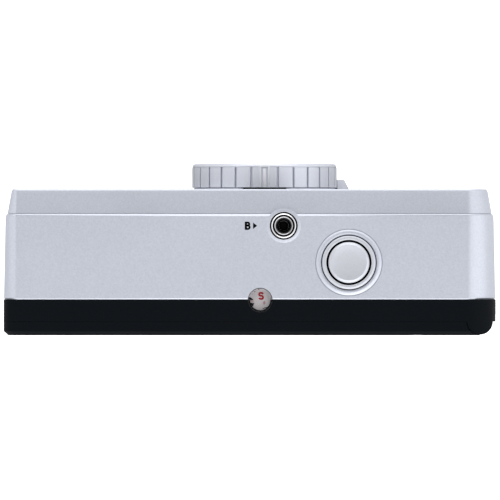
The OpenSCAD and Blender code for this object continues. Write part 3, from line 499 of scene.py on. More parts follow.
# %% Rings of the two shells
COVER_INSIDE = (2.2, 1.6, 1.8)
PANEL_LIP = (2.25, 1.65, 1.85)
PANEL_INSIDE = (3.7, 3.1, 3.3)
STEP_SIDE, SEAM_SIDE, NOSE_SIDE = 0.42, 0.04, 1.75
NOSE_TOP = 1.42


def cover_rings():
    """Rings from the step back to the seam, then forward up the inside."""
    step_bevel = ((Y_STEP - 0.05, 0.36), (Y_STEP - 0.02, 0.29), (Y_STEP + 0.43, 0.0))
    seam_bevel = ((Y_SEAM - 0.4, 0.0), (Y_SEAM - 0.03, 0.22), (Y_SEAM - 0.02, 0.26))
    rows = [(y, STEP_SIDE + i, i, i) for y, i in step_bevel]
    rows += [(y, SEAM_SIDE + i, i, i) for y, i in seam_bevel]
    rows += [(Y_SEAM - 0.02, *COVER_INSIDE), (Y_STEP - 0.05, *COVER_INSIDE)]
    return [ring_at(*row) for row in rows]


def panel_rings():
    """Rings from the nose back to the crease, down behind the step and forward up the inside."""
    nose_bevel = ((Y_FRONT, 0.36), (Y_FRONT + 0.04, 0.3), (Y_FRONT + 0.5, 0.0))
    rows = [(y, NOSE_SIDE + i, NOSE_TOP + i, NOSE_TOP + i) for y, i in nose_bevel]
    rows += [(Y_STEP - 0.1, 0.84, 0.53, 0.53), (Y_STEP - 0.08, *PANEL_LIP), (Y_STEP + 0.6, *PANEL_LIP)]
    rows += [(Y_STEP + 0.6, *PANEL_INSIDE), (Y_FRONT + 1.8, *PANEL_INSIDE)]
    return [ring_at(*row) for row in rows]


cover = loft("front_cover", cover_rings(), closed=True)
panel = loft("front_panel", panel_rings())
print("cover points:", len(cover.data.vertices), "panel points:", len(panel.data.vertices))

# %% [markdown]
# ## Openings of the case
# Each opening is one cutter: turned ones for round holes, with a step where a window or a screw head seats,
# and blocks for windows and lids. Cutters run well past the wall, so that the boolean leaves no thin skin.

# %% Cutters of the front panel
def drill(profile, at, axis="z"):
    """A cutter turned from its outside radii and stations, closed on the axis at both ends."""
    return revolve("cut", [(0, profile[0][1])] + profile + [(0, profile[-1][1])], at, axis, closed=False)


def arc(cx, cy, rx, ry, a0, a1, steps=14):
    """Points of an elliptic arc between two angles in degrees."""
    angles = [math.radians(a0 + (a1 - a0) * k / steps) for k in range(steps + 1)]
    return [(cx + rx * math.cos(a), cy + ry * math.sin(a)) for a in angles]


LENS_HOLE_R, LENS_CLEAR_R, NOTCH_R = 8.55, 20, 3.82
AHEAD, BEHIND = -20, -10
GRIP_BED = [
    (49.5, 9), (49.5, 41), (47, 43.5), (-47, 43.5), (-49.5, 41), (-49.5, 9), (-47, 6.5), (47, 6.5),
]
grip_bed = prism("cut", GRIP_BED, (-14, Y_FRONT + 0.5), "y")
cut(grip_bed, [drill([(LENS_CLEAR_R, -15), (LENS_CLEAR_R, -5)], LENS, "y")])
lever_slot = arc(*LENS, 18.6, 18.6, 186, 232) + arc(*LENS, 16.4, 16.4, 186, 232)[::-1]
panel_cuts = [
    grip_bed,
    drill([(LENS_HOLE_R, AHEAD), (LENS_HOLE_R, BEHIND)], LENS, "y"),
    block("viewfinder", (-9.9, 3.3), (AHEAD, BEHIND), (47.4, 55.0)),
    block("flash", (8.5, 27.5), (AHEAD, BEHIND), (45.5, 57.5)),
    drill([(NOTCH_R, 55), (NOTCH_R, 65)], SOCKET),
    prism("lever_slot", lever_slot, (AHEAD, BEHIND), "y"),
]
print("cuts in the panel:", len(panel_cuts))

# %% Cutters of the cover
BELOW_DECK, ABOVE_DECK = 57, 65
BELOW_BASE, INSIDE_BASE = -2, 3
BUTTON_HOLE_R, SOCKET_HOLE_R = 6.2, 3.15
LEDGE, LEDGE_R = 59.85, 2.62
CRANK_HOLE_R, TRIPOD_HOLE_R, RELEASE_HOLE_R = 7.1, 4.6, 2.0
RELEASE = (-18.4, 8.15)
SCREW_R, SCREW_HEAD_R, SCREW_LEDGE = 1.1, 1.9, 0.9
BASE_SCREWS = ((-44, 7), (48.2, -4.5))
END_SCREWS = ((1, (8, 50)), (-1, (8.5, 20)))


def through_deck(r, at):
    return drill([(r, BELOW_DECK), (r, ABOVE_DECK)], at)


def through_base(r, at):
    return drill([(r, BELOW_BASE), (r, INSIDE_BASE)], at)


cover_cuts = [
    through_deck(BUTTON_HOLE_R, BUTTON),
    revolve("groove", [(7.3, 60.4), (7.48, 60.4), (7.48, 62), (7.3, 62)], BUTTON),
    through_deck(SOCKET_HOLE_R, SOCKET),
    drill([(LEDGE_R, BELOW_DECK), (LEDGE_R, LEDGE), (WINDOW_R, LEDGE), (WINDOW_R, ABOVE_DECK)], WINDOW),
    through_base(CRANK_HOLE_R, CRANK),
    through_base(TRIPOD_HOLE_R, (LENS[0], 0)),
    through_base(RELEASE_HOLE_R, RELEASE),
    block("battery_lid", (10.2, 22.8), (-4.3, 10), (BELOW_BASE, INSIDE_BASE)),
    block("strap", (-56, -51.7), (-2, 6), (38, 48)),
]
for at in BASE_SCREWS:
    head = [(SCREW_HEAD_R, BELOW_BASE), (SCREW_HEAD_R, SCREW_LEDGE)]
    shank = [(SCREW_R, SCREW_LEDGE), (SCREW_R, INSIDE_BASE)]
    cover_cuts.append(drill(head + shank, at))
for s, at in END_SCREWS:
    screw = [(SCREW_R, s * 50), (SCREW_R, s * 53.8), (SCREW_HEAD_R, s * 53.8), (SCREW_HEAD_R, s * 57)]
    cover_cuts.append(drill(screw, at, "x"))
print("cuts in the cover:", len(cover_cuts))

# %% Cut the openings and round their edges
for shell, cuts, node in ((cover, cover_cuts, "front_cover"), (panel, panel_cuts, "front_panel")):
    cut(shell, cuts)
    flatten(shell, 0.3)
    soften(shell, 0.06, 2, angle=55)
    smooth(shell, 24)
    piece(shell, "camera", "silver_paint", SILVER, node)
    print(node, "faces:", len(shell.data.polygons))

# %% [markdown]
# ## Raised rims and pockets of the cover
# The platform under the button, the boss round the socket, the crank's cup and the strap pocket are part of
# the pressed cover. Here they are small pieces set into its holes, which is simpler than raising its mesh.

# %% Platform, boss, cup and pocket
turned("button_platform", "silver_paint", SILVER, [
    (6.3, 60.3), (6.3, DECK + 0.1), (6.36, DECK + 0.2), (6.5, DECK + 0.25), (6.72, DECK + 0.25),
    (7.26, DECK + 0.04), (7.34, DECK - 0.02), (7.34, 60.3)], BUTTON)
turned("socket_boss", "silver_paint", SILVER, [
    (3.12, 60.2), (3.12, DECK + 0.11), (3.17, DECK + 0.15), (3.26, DECK + 0.15), (3.9, DECK - 0.02),
    (3.9, 60.2)], SOCKET)
turned("crank_cup", "silver_paint", SILVER, [
    (CRANK_CUP_R, 0.25), (6.35, 0.05), (6.9, 0.02), (7.1, 0.1), (7.1, 4.3), (2.1, 4.3), (2.1, 3.4),
    (CRANK_CUP_R, 3.4)], CRANK)
pocket = block("strap_pocket", (-53.6, -50.6), (-2.8, 6.8), (37.2, 48.8))
cut(pocket, [block("cut", (-57, -51.4), (-2, 6), (38, 48))])
piece(soften(pocket, 0.1), "camera", "silver_paint", SILVER)
print("strap pocket faces:", len(pocket.data.polygons))

# %% [markdown]
# ## Repeats with Geometry Nodes
# The pads of the ring, the teeth of the socket's nut and the ribs of the grip are one shape many times over.
# An Array modifier could place them too, but it needs a helper object to turn its copies.
# So one node tree places copies of a unit, each turned and moved by the same amount from the last.

# %% Geometry Nodes repeater
REPEATER_INPUTS = (
    ("Unit", "NodeSocketObject"), ("Count", "NodeSocketInt"), ("Start", "NodeSocketVector"),
    ("Step", "NodeSocketVector"), ("First turn", "NodeSocketVector"), ("Turn", "NodeSocketVector"),
    ("Material", "NodeSocketMaterial"),
)


def build_repeater():
    tree = bpy.data.node_groups.new("repeater", "GeometryNodeTree")
    tree.interface.new_socket(name="Geometry", in_out="OUTPUT", socket_type="NodeSocketGeometry")
    for name, kind in REPEATER_INPUTS:
        tree.interface.new_socket(name=name, in_out="INPUT", socket_type=kind)
    n, link = tree.nodes, tree.links.new
    inp, out = n.new("NodeGroupInput"), n.new("NodeGroupOutput")
    index = n.new("GeometryNodeInputIndex")

    def series(first, step):
        """The first value plus the step times the copy's number."""
        scale = n.new("ShaderNodeVectorMath")
        scale.operation = "SCALE"
        link(step, scale.inputs[0])
        link(index.outputs[0], scale.inputs["Scale"])
        add = n.new("ShaderNodeVectorMath")
        link(first, add.inputs[0])
        link(scale.outputs[0], add.inputs[1])
        return add.outputs[0]

    points = n.new("GeometryNodePoints")
    link(inp.outputs["Count"], points.inputs["Count"])
    link(series(inp.outputs["Start"], inp.outputs["Step"]), points.inputs["Position"])
    info = n.new("GeometryNodeObjectInfo")
    link(inp.outputs["Unit"], info.inputs["Object"])
    place = n.new("GeometryNodeInstanceOnPoints")
    link(points.outputs[0], place.inputs["Points"])
    link(info.outputs["Geometry"], place.inputs["Instance"])
    turn = n.new("FunctionNodeEulerToRotation")
    link(series(inp.outputs["First turn"], inp.outputs["Turn"]), turn.inputs[0])
    link(turn.outputs[0], place.inputs["Rotation"])
    real = n.new("GeometryNodeRealizeInstances")
    link(place.outputs[0], real.inputs[0])
    paint = n.new("GeometryNodeSetMaterial")
    link(real.outputs[0], paint.inputs["Geometry"])
    link(inp.outputs["Material"], paint.inputs["Material"])
    link(paint.outputs[0], out.inputs[0])
    return tree


REPEATER = build_repeater()
SOCKETS = {item.name: item.identifier for item in REPEATER.interface.items_tree
           if item.item_type == "SOCKET" and item.in_out == "INPUT"}
print("repeater inputs:", sorted(SOCKETS))

# %% Helpers: repeat a unit, and merge meshes
def repeat(name, unit, count, material, start, step=(0, 0, 0), first_turn=(0, 0, 0), turn=(0, 0, 0)):
    """Copies of a unit at even steps, in millimetres and degrees, baked to one mesh."""
    obj = bpy.data.objects.new(name, bpy.data.meshes.new(name))
    bpy.context.scene.collection.objects.link(obj)
    m = obj.modifiers.new("repeat", "NODES")
    m.node_group = REPEATER
    values = {
        "Unit": unit, "Count": count, "Material": material,
        "Start": [v * MM for v in start], "Step": [v * MM for v in step],
        "First turn": [math.radians(v) for v in first_turn], "Turn": [math.radians(v) for v in turn],
    }
    for key, value in values.items():
        m[SOCKETS[key]] = value
    obj.update_tag()
    bpy.context.view_layer.update()
    return bake(obj)


def merge(name, objs):
    """Joins several plain meshes into one object without changing their shape."""
    bm = bmesh.new()
    for obj in objs:
        bm.from_mesh(obj.data)
    mesh = bpy.data.meshes.new(name)
    bm.to_mesh(mesh)
    bm.free()
    merged = bpy.data.objects.new(name, mesh)
    bpy.context.scene.collection.objects.link(merged)
    drop(*objs)
    return smooth(merged, 40)


print("repeat and merge ready")

# %% [markdown]
# ## Flash ring
# The ring that sets the flash has a smooth rounded front rim, and raised pads for the fingers behind it.
# It could be one turned shape with grooves cut into it. Here the core is turned and the pads are set on it,
# because each pad's edges can then be rounded before it is repeated round the ring.

# %% Helpers: curved blocks round the lens
def wedge(name, r0, r1, half, y0, y1, edge=0.1, centre=0.0, steps=8):
    """A curved block about the Y axis, centred on an angle in degrees from straight up."""
    rows = []
    for y in (y0, y1):
        row = []
        for r, span in ((r1, range(steps + 1)), (r0, range(steps, -1, -1))):
            for k in span:
                a = math.radians(centre - half + 2 * half * k / steps)
                row.append((r * math.sin(a), y, r * math.cos(a)))
        rows.append(row)
    return soften(loft(name, rows), edge, 2, angle=40)


def onto_lens(obj):
    """Moves a mesh from the Y axis to the lens axis."""
    obj.data.transform(Matrix.Translation(Vector((LENS[0], 0, LENS[1])) * MM))
    return obj


print("curved blocks ready")

# %% Core and pads of the ring
PITCH, INDEX_HALF, GROOVE_HALF, PADS = 13.0, 10.5, 0.8, 12
PAD_FRONT = RING_FRONT + 0.85
RING_STEPS = 192
core = revolve("ring_core", [
    (11.1, RING_BACK), (15.75, RING_BACK), (15.75, PAD_FRONT + 0.1), (16.28, PAD_FRONT - 0.02),
    (16.27, PAD_FRONT - 0.2), (16.2, PAD_FRONT - 0.45), (16.05, PAD_FRONT - 0.68), (15.85, RING_FRONT + 0.03),
    (15.6, RING_FRONT), (12.95, RING_FRONT), (12.8, RING_FRONT + 0.06), (12.15, RING_FRONT + 0.8),
    (12.1, RING_FRONT + 1.3), (11.1, RING_FRONT + 1.3)], LENS, "y", RING_STEPS)
ring_parts = [smooth(core, 30)]
pad = wedge("pad", 15.5, RING_R, PITCH / 2 - GROOVE_HALF, PAD_FRONT, RING_BACK)
for sign in (1, -1):
    first = (0, sign * (INDEX_HALF + PITCH / 2), 0)
    ring_parts.append(repeat("pads", pad, PADS, RING_SILVER, (LENS[0], 0, LENS[1]), first_turn=first,
                             turn=(0, sign * PITCH, 0)))
drop(pad)
print("pads:", 2 * PADS)

# %% Land, index sides and the finished ring
land = 180 - INDEX_HALF - PADS * PITCH - GROOVE_HALF
ring_lands = (("land", RING_R, land, 180), ("index_left", RING_R, 3.0, -6.5),
              ("index_right", RING_R, 3.0, 6.5), ("index_floor", RING_R - 0.3, 4.2, 0))
for name, r1, half, mid in ring_lands:
    ring_parts.append(onto_lens(wedge(name, 15.4, r1, half, PAD_FRONT, RING_BACK, centre=mid, edge=0.08)))
ring = merge("flash_ring", ring_parts)
piece(ring, "flash_ring", "ring_silver", RING_SILVER, "mode_ring")
print("ring faces:", len(ring.data.polygons))

# %% [markdown]
# ## Index and seat of the ring
# The index is a raised arch with a bar inside it, both filled in white. The front panel has a low seat behind
# the ring, open for a short way at the top. Both are bent blocks of the same kind as the pads.

# %% Index mark and ring seat
INDEX_FRONT = RING_FRONT + 0.42
arch_and_bar = (
    ("arch_left", 0.7, -3.45, INDEX_FRONT, RING_BACK), ("arch_right", 0.7, 3.45, INDEX_FRONT, RING_BACK),
    ("arch_top", 2.9, 0, INDEX_FRONT, INDEX_FRONT + 0.4), ("bar", 1.15, 0, INDEX_FRONT + 0.75, RING_BACK),
)
index_parts = [onto_lens(wedge(name, 15.6, RING_R - 0.01, half, y0, y1, centre=mid, edge=0.05))
               for name, half, mid, y0, y1 in arch_and_bar]
piece(merge("index_mark", index_parts), "flash_ring", "ring_silver", INDEX_WHITE)
SEAT_HALF, SEAT_STEPS = 161.8, 64
seat = wedge("ring_seat", 15.22, 15.9, SEAT_HALF, RING_BACK + 0.05, Y_FRONT + 0.04, centre=180, edge=0.04,
             steps=SEAT_STEPS)
piece(onto_lens(seat), "camera", "silver_paint", SILVER)
print("index parts:", len(arch_and_bar), "seat faces:", len(seat.data.polygons))

# %% [markdown]
# ## Shutter button
# The button is a dished cap in a collar, on the low platform of the cover. A black well round its stem is
# painted shade in the gaps between cap, collar and platform.
# Turned parts like these come off a lathe, so each is its own profile turned round the button's axis.
# The bevels are points of the profile, which puts each bright rim where the lathe would leave it.

# %% Shutter button and its collar
turned("button_cap", "ring_silver", CAP_SILVER, [
    (0, 61.70), (2.5, 61.76), (3.7, 61.88), (3.9, 61.92), (3.98, 61.92), (4.46, 61.64), (4.54, 61.56),
    (4.58, 61.42), (4.58, 59.9), (4.1, 59.9), (4.1, 60.9), (1.6, 60.9), (1.6, 56.6), (0, 56.6)],
    BUTTON, body="button", nodes=("shutter_button",), closed=False, angle=25)
turned("button_collar", "ring_silver", CAP_SILVER, [
    (5.03, 60.2), (5.03, 61.48), (5.08, 61.56), (5.16, 61.6), (5.5, 61.6), (5.72, 61.56), (5.88, 61.46),
    (5.98, 61.3), (6.0, 61.2), (6.0, 60.2)], BUTTON, nodes=("button_collar",))
# Painted shade: a black floor and sleeve under the collar and platform, so that the gaps round them are dark.
turned("button_well", "black_plastic", BLACK_AND_PAINTED_SHADE, [
    (1.7, 58.0), (6.3, 58.0), (6.3, 60.3), (5.02, 60.3), (5.02, 61.44), (4.93, 61.44), (4.93, 58.6),
    (1.7, 58.6)], BUTTON)
print("button at", BUTTON)

# %% [markdown]
# ## Cable release socket
# A cable release screws into this nickel bush. Its mouth is coned, and it sits in a black bezel inside a
# fine-toothed nut. The teeth are repeats of one small block, because a turned profile can't have teeth.

# %% Cable release socket
turned("socket_bush", "steel", CONE, [
    (1.1, 55.3), (2.3, 55.3), (2.3, 60.1), (2.07, 60.2), (2.07, 60.84), (2.03, 60.9), (1.97, 60.88),
    (1.84, 60.78), (1.68, 60.5), (1.53, 60.1), (1.46, 59.6), (1.44, 57.8), (1.1, 57.8)],
    SOCKET, nodes=("cable_socket",))
# Painted shade: a black lining inside the bush, where the bore is in shade.
turned("socket_sleeve", "black_plastic", BLACK_AND_PAINTED_SHADE, [
    (1.12, 57.8), (1.43, 57.8), (1.45, 59.6), (1.5, 60.04), (1.44, 60.0), (1.3, 59.4), (1.12, 59.2)], SOCKET)
# Painted shade: the steel plunger takes the near-black finish, because it sits in the shade of the bore.
rounded("cable_plunger", "steel", BLACK_AND_PAINTED_SHADE, 0.05)
turned("socket_bezel", "black_plastic", BLACK_AND_PAINTED_SHADE, [
    (2.32, 59.2), (3.1, 59.2), (3.1, 60.5), (2.1, 60.5), (2.1, 60.2), (2.32, 60.1)],
    SOCKET, nodes=("socket_trim",))
print("socket at", SOCKET)

# %% Toothed nut round the socket
TEETH = 52
nut = smooth(revolve("nut", [
    (2.44, 60.3), (2.78, 60.3), (2.78, 60.9), (2.74, 61.0), (2.66, 61.04), (2.58, 61.02), (2.48, 60.94),
    (2.44, 60.84)], SOCKET), 32)
# Painted shade: the teeth take the black finish, so that they make a dark ring of shade round the nut.
tooth = soften(block("tooth", (2.78, 3.06), (-0.07, 0.07), (60.3, 60.66)), 0.03, 1)
teeth = repeat("teeth", tooth, TEETH, BLACK_TRIM_AND_SHADE, (*SOCKET, 0), turn=(0, 0, 360 / TEETH))
drop(tooth)
piece(nut, "camera", "steel", BRIGHT)
piece(smooth(teeth, 40), "camera", "black_plastic", BLACK_TRIM_AND_SHADE)
print("teeth:", TEETH)

# %% [markdown]
# ## Printed marks
# The marks on the deck and on the counter are ink, which stands only a few hundredths of a millimetre proud.
# A text object would need a font, so each mark is drawn from strokes and arcs instead and made a thin solid.
# They read with the lens side at the top.

# %% Helpers: strokes and ink
INK = 0.03
SUNK = 0.01


def stroke(path, width):
    """Outline of a line of even width along a path of points."""
    left, right = [], []
    for i, p in enumerate(path):
        a, b = path[max(i - 1, 0)], path[min(i + 1, len(path) - 1)]
        d = Vector((b[0] - a[0], b[1] - a[1])).normalized() * width / 2
        left.append((p[0] - d.y, p[1] + d.x))
        right.append((p[0] + d.y, p[1] - d.x))
    return left + right[::-1]


def ink(name, shapes, at, surface, body, slot, material, thick=INK):
    """Prints outlines given in the reader's own right and up, centred at a place on a flat surface."""
    low = surface - SUNK
    parts = [prism(name, [(at[0] - u, at[1] - v) for u, v in shape], (low, low + thick)) for shape in shapes]
    return piece(merge(name, parts), body, slot, material)


print("ink is", INK, "mm thick")

# %% Bulb mark: a stem, two bowls and a small pointer
stem = stroke([(-0.42, -0.9), (-0.42, 0.9)], 0.5)
upper = stroke([(-0.44, 0.72)] + arc(0.0, 0.39, 0.33, 0.31, 90, -90) + [(-0.44, 0.08)], 0.44)
lower = stroke([(-0.44, 0.06)] + arc(0.02, -0.33, 0.40, 0.38, 90, -90) + [(-0.44, -0.71)], 0.44)
pointer = [(1.18, 0.72), (2.1, 0.0), (1.18, -0.72)]
bulb_mark = [stem, upper, lower, pointer]
ink("bulb_mark", bulb_mark, (0.47, -5.2), DECK, "camera", "black_plastic", INK_BLACK)
print("bulb mark shapes:", len(bulb_mark))

# %% [markdown]
# ## Frame counter
# A printed dial turns under a small round window, half in the silver deck and half in the black rim.
# Only the part of the dial under the window at rest is printed, so blank parts come up as it turns.

# %% Counter dial and its start mark
DIAL_TOP = 59.3
turned("counter_plate", "dial_white", DIAL_WHITE, [
    (1.05, 58.2), (9.1, 58.2), (9.25, 58.3), (9.25, DIAL_TOP - 0.1), (9.1, DIAL_TOP), (1.05, DIAL_TOP)],
    DIAL, body="counter")
s_path = [(0.45, 0.4)] + arc(0.0, 0.35, 0.42, 0.33, 20, 270, 20) + arc(0.0, -0.34, 0.44, 0.35, 90, -160, 20)
start_at = (WINDOW[0] - 0.2, WINDOW[1] - 0.95)
ink("counter_start", [stroke(s_path, 0.43)], start_at, DIAL_TOP, "counter", "dial_white", INK_RED)
print("dial top at", DIAL_TOP)

# %% Wedges and bars printed on the dial
marks = [
    [(-2.6, 0.75), (-2.0, 0.55), (-1.45, 0.02), (-1.9, -0.05), (-2.65, 0.25)],
    [(-2.6, -0.45), (-1.3, -0.72), (-1.5, -1.15), (-1.9, -1.75), (-2.4, -1.4)],
    stroke([(0.55, -1.95), (1.05, -1.72), (1.5, -1.62)], 0.16),
    arc(-1.2, 1.82, 0.1, 0.1, 0, 330, 10),
    arc(-0.3, 2.42, 0.13, 0.09, 0, 330, 10),
    stroke([(-1.15, -2.1), (-0.6, -2.3)], 0.12),
]
ink("counter_marks", marks, WINDOW, DIAL_TOP, "counter", "dial_white", INK_BLACK)
bars = [stroke([(-2.5, 0.0), (-1.5, -0.3)], 0.14), stroke([(-2.3, -0.3), (-1.45, -0.45)], 0.1),
        arc(0.9, -0.6, 0.28, 0.4, 0, 340, 12)]
INK_PALE = finish("pale_ink", (0.62, 0.36, 0.38), 0.5, fleck=(2500, 0.2))
ink("counter_bars", bars, WINDOW, DIAL_TOP, "counter", "dial_white", INK_PALE, thick=0.025)
print("marks:", len(marks), "bars:", len(bars))

# %% Counter window
turned("counter_glass", "lens_glass", THIN_CLEAR, [
    (0, 60.2), (2.6, 60.2), (2.66, 60.25), (2.66, 60.8), (2.6, 60.88), (1.6, 60.95), (0, 60.98)],
    WINDOW, nodes=("counter_window",), closed=False)
# Painted shade: a thin black lining on the wall of the window's hole, which makes a dark edge of shade round the
# dial.
turned("counter_rim", "black_plastic", BLACK_TRIM_AND_SHADE, [
    (2.62, 59.85), (2.745, 59.85), (2.745, 60.9), (2.7, 60.96), (2.64, 60.9)], WINDOW)
print("window at", WINDOW, "radius", WINDOW_R)

# %% [markdown]
# ## Black body, door and fittings
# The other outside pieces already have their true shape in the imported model. Only their edges are too sharp.
# So each is copied, its flat faces are merged and its edges rounded. The door gets the widest round.

# %% Rounded copies
WIDE_ROUND = 0.4
PLAN = [
    ("main_body", "black_plastic", BLACK, 0.18),
    ("back_door", "black_plastic", BLACK, 0.7),
    ("door_latch", "black_plastic", BLACK, 0.1),
    ("filter_lever", "ring_silver", RING_SILVER, 0.16),
    ("lens_barrel", "black_plastic", BLACK_TRIM_AND_SHADE, 0.08),
    ("lens_trim", "black_plastic", BLACK_TRIM_AND_SHADE, 0.08),
    ("viewfinder_tunnel", "black_plastic", BLACK_TRIM_AND_SHADE, 0.08),
    ("viewfinder_window", "lens_glass", GLASS, 0.1),
    ("eyepiece_lens", "lens_glass", GLASS, 0.08),
    ("flash_window", "flash_plastic", CLEAR, 0.1),
    ("advance_wheel", "black_plastic", BLACK_TRIM_AND_SHADE, 0.08),
    ("battery_door", "silver_paint", SILVER, 0.1),
    ("rewind_knob", "steel", STEEL, 0.1),
    ("rewind_crank", "steel", STEEL, 0.1),
    ("crank_grip", "black_plastic", BLACK_TRIM_AND_SHADE, 0.12),
    ("rewind_release", "black_plastic", BLACK_TRIM_AND_SHADE, 0.1),
    ("tripod_socket", "steel", STEEL, 0.12),
    ("strap_bar", "steel", STEEL, 0.1),
    ("case_screws", "steel", STEEL, 0.05),
    ("pressure_plate", "steel", DARK_STEEL, 0.08),
    ("take_up_spool", "black_plastic", BLACK_TRIM_AND_SHADE, 0.1),
]
for node, slot, material, width in PLAN:
    fine = rounded(node, slot, material, width, 4 if width > WIDE_ROUND else 2)
    print(node, len(fine.data.polygons))

# %% [markdown]
# ## Grip panel
# The front carries a thin rubber sheet with upright ribs and a raised edge, cut round the lens.
# The ribs are repeats of one rounded bar. They are cut round the lens last, so that they end on its edge.

# %% Parts of the grip
GRIP_CUT_R, EDGE_W = 20.1, 1.1
GRIP_FACE, GRIP_FOOT = -13.34, -13.0
RIBS, RIB_STEP = 49, 2


def grip_outline(inset):
    r, x, z0, z1 = 2.5 - inset, 49.5 - inset, 6.5 + inset, 43.5 - inset
    points = []
    corners = ((x - r, z1 - r, 0), (-x + r, z1 - r, 90), (-x + r, z0 + r, 180), (x - r, z0 + r, 270))
    for cx, cz, a in corners:
        points += arc(cx, cz, r, r, a, a + 90, 6)
    return points


sheet = prism("grip", grip_outline(0.1), (-13.2, -12.9), "y")
rib = soften(block("rib", (-0.6, 0.6), (-13.36, -13.1), (8.3, 41.7)), 0.14, 2)
ribs = repeat("ribs", rib, RIBS, GRIP, (-48, 0, 0), step=(RIB_STEP, 0, 0))
drop(rib)
edge_strip = prism("grip_edge", grip_outline(0.1), (GRIP_FACE, GRIP_FOOT), "y")
cut(edge_strip, [prism("cut", grip_outline(1.5), (-15, -12), "y")])
for part in (sheet, ribs, edge_strip):
    cut(part, [drill([(GRIP_CUT_R, -15), (GRIP_CUT_R, -12)], LENS, "y")])
print("ribs:", RIBS)

# %% Edge round the lens and the finished grip
collar_strip = revolve("grip_ring", [
    (GRIP_CUT_R, GRIP_FACE), (GRIP_CUT_R + EDGE_W, GRIP_FACE), (GRIP_CUT_R + EDGE_W, GRIP_FOOT),
    (GRIP_CUT_R, GRIP_FOOT)], LENS, "y")
cut(collar_strip, [block("cut", (-60, 60), (-15, -12), (43.4, 80))])
soften(edge_strip, 0.08, 2)
soften(collar_strip, 0.08, 2)
grip = merge("grip_panel_fine", [sheet, ribs, edge_strip, collar_strip])
piece(grip, "camera", "grip_rubber", GRIP, "grip_panel")
print("grip faces:", len(grip.data.polygons))

# %% [markdown]
# ## Remaining CAD pieces
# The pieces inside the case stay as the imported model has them, and a new shape would add nothing there.
# Each gets the material of its slot, so that an opened door shows finished parts too.

# %% Materials for the carried-over nodes
SLOT_MATERIALS = {
    "silver_paint": SILVER, "black_plastic": BLACK, "grip_rubber": GRIP, "foam": FOAM,
    "ring_silver": RING_SILVER, "steel": STEEL, "dark_steel": DARK_STEEL, "lens_glass": GLASS,
    "flash_plastic": CLEAR, "mirror": MIRROR, "tube_glass": CLEAR, "capacitor_sleeve": SLEEVE,
    "board": BOARD, "lamp_red": LAMP, "battery_label": CELL, "dial_white": DIAL_WHITE, "gear_plastic": GEAR,
}
slots = {s["node"]: s["material_slot"] for s in frame["record"]["subparts"]}
for node, obj in frame["nodes"].items():
    obj.data.materials.clear()
    obj.data.materials.append(SLOT_MATERIALS[slots[node]])
print("slots:", len(set(slots.values())))

# %% [markdown]
# ## Camera
# The view is straight down from a little over two metres, with the lens side of the camera at the top.
# From nearer, the deck would look larger than the base below it. From here the case keeps nearly one size.

# %% Camera
DISTANCE = 2200.0
SENSOR = 36.0
VIEW_WIDTH = 111.55
camera_data = bpy.data.cameras.new("view")
camera = bpy.data.objects.new("view", camera_data)
bpy.context.scene.collection.objects.link(camera)
bpy.context.scene.camera = camera
camera_data.sensor_width = SENSOR
camera_data.lens = SENSOR * DISTANCE / VIEW_WIDTH
camera_data.clip_start = 0.05
camera_data.clip_end = 20.0
camera.location = (-0.03 * MM, 0.207 * MM, (DECK + DISTANCE) * MM)
camera.rotation_euler = (0, 0, math.pi)
print("focal length:", round(camera_data.lens, 1))

# %% [markdown]
# ## Floor
# The floor is plain and pale. If it were bright enough to look white, it would throw too much light onto the
# case. So it glows where it is seen directly, and only a little in reflections.

# %% Floor
FLOOR_HALF = 3000
floor = block("floor", (-FLOOR_HALF, FLOOR_HALF), (-FLOOR_HALF, FLOOR_HALF), (-4, -0.02))
floor_paint = finish("floor_paint", (0.62, 0.62, 0.62), 0.9, fleck=(20, 0.01), blotch=(3, 0.01),
                     Emission_Color=(1, 1, 1, 1))
nodes, link = floor_paint.node_tree.nodes, floor_paint.node_tree.links.new
seen, glow = nodes.new("ShaderNodeLightPath"), nodes.new("ShaderNodeMath")
glow.operation = "MULTIPLY_ADD"
glow.inputs[1].default_value, glow.inputs[2].default_value = 0.9, 0.08
link(seen.outputs["Is Camera Ray"], glow.inputs[0])
link(glow.outputs[0], nodes["Principled BSDF"].inputs["Emission Strength"])
floor.data.materials.append(floor_paint)
print("floor:", 2 * FLOOR_HALF * MM, "m wide")

# %% [markdown]
# ## Lights
# Silver shows what it reflects, so the lights are large soft walls round the case, not small lamps.
# The front and rear walls light the bevels on those sides, and a weaker one lights the end with the button.

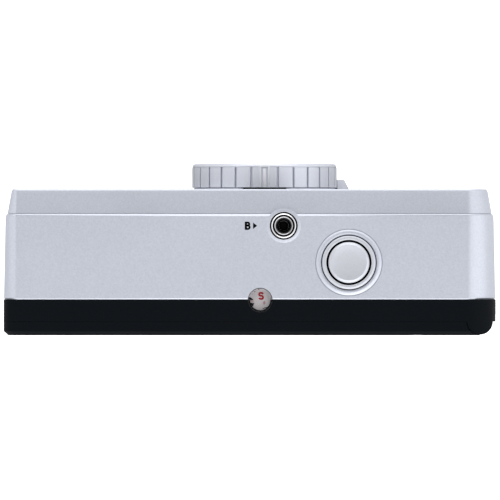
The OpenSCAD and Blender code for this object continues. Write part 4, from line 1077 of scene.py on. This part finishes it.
# %% Lights
def light(name, place, target, size, power, color=(1, 1, 1)):
    """A soft rectangular light of a width and height in metres, turned towards a target."""
    data = bpy.data.lights.new(name, "AREA")
    data.shape = "RECTANGLE"
    data.size, data.size_y = size
    data.energy, data.color = power, color
    obj = bpy.data.objects.new(name, data)
    bpy.context.scene.collection.objects.link(obj)
    obj.location = place
    obj.rotation_euler = (Vector(target) - Vector(place)).to_track_quat("-Z", "Y").to_euler()


light("right_wall", (-1.0, 0.3, 0.5), (0, 0, 0.05), (1.2, 1.0), 1.7, (0.95, 0.98, 1.0))
light("front_wall", (0, -1.0, 0.55), (0, 0, 0.05), (1.6, 0.8), 5.0)
light("rear_wall", (0, 1.0, 0.5), (0, 0, 0.05), (1.6, 0.8), 4.0)
light("rear_top", (-0.3, 0.7, 0.9), (0, 0.01, 0.06), (1.2, 0.8), 2.6)
print("lights:", len(bpy.data.lights))

# %% [markdown]
# ## Surroundings
# A flat deck mirrors the patch of sky right above it. That patch is darker here than the rest, and leans a
# little to the front, so that the deck is grey while the bevels stay bright.

# %% Surroundings
DARK_PATCH_DIRECTION = (0, -0.326, 0.9455)
PALE, GREY = (1.0, 1.0, 1.02, 1), (0.18, 0.182, 0.187, 1)
world = bpy.data.worlds.new("studio")
bpy.context.scene.world = world
world.use_nodes = True
nodes, link = world.node_tree.nodes, world.node_tree.links.new
coord = nodes.new("ShaderNodeTexCoord")
closeness = nodes.new("ShaderNodeVectorMath")
closeness.operation = "DOT_PRODUCT"
closeness.inputs[1].default_value = DARK_PATCH_DIRECTION
ramp = nodes.new("ShaderNodeValToRGB")
link(coord.outputs["Generated"], closeness.inputs[0])
link(closeness.outputs["Value"], ramp.inputs[0])
link(ramp.outputs["Color"], nodes["Background"].inputs["Color"])
for stop, position, color in zip(ramp.color_ramp.elements, (0.85, 0.985), (PALE, GREY)):
    stop.position = position
    stop.color = color
nodes["Background"].inputs["Strength"].default_value = 1.1
bpy.context.scene.view_settings.view_transform = "Standard"
print("surroundings ready")
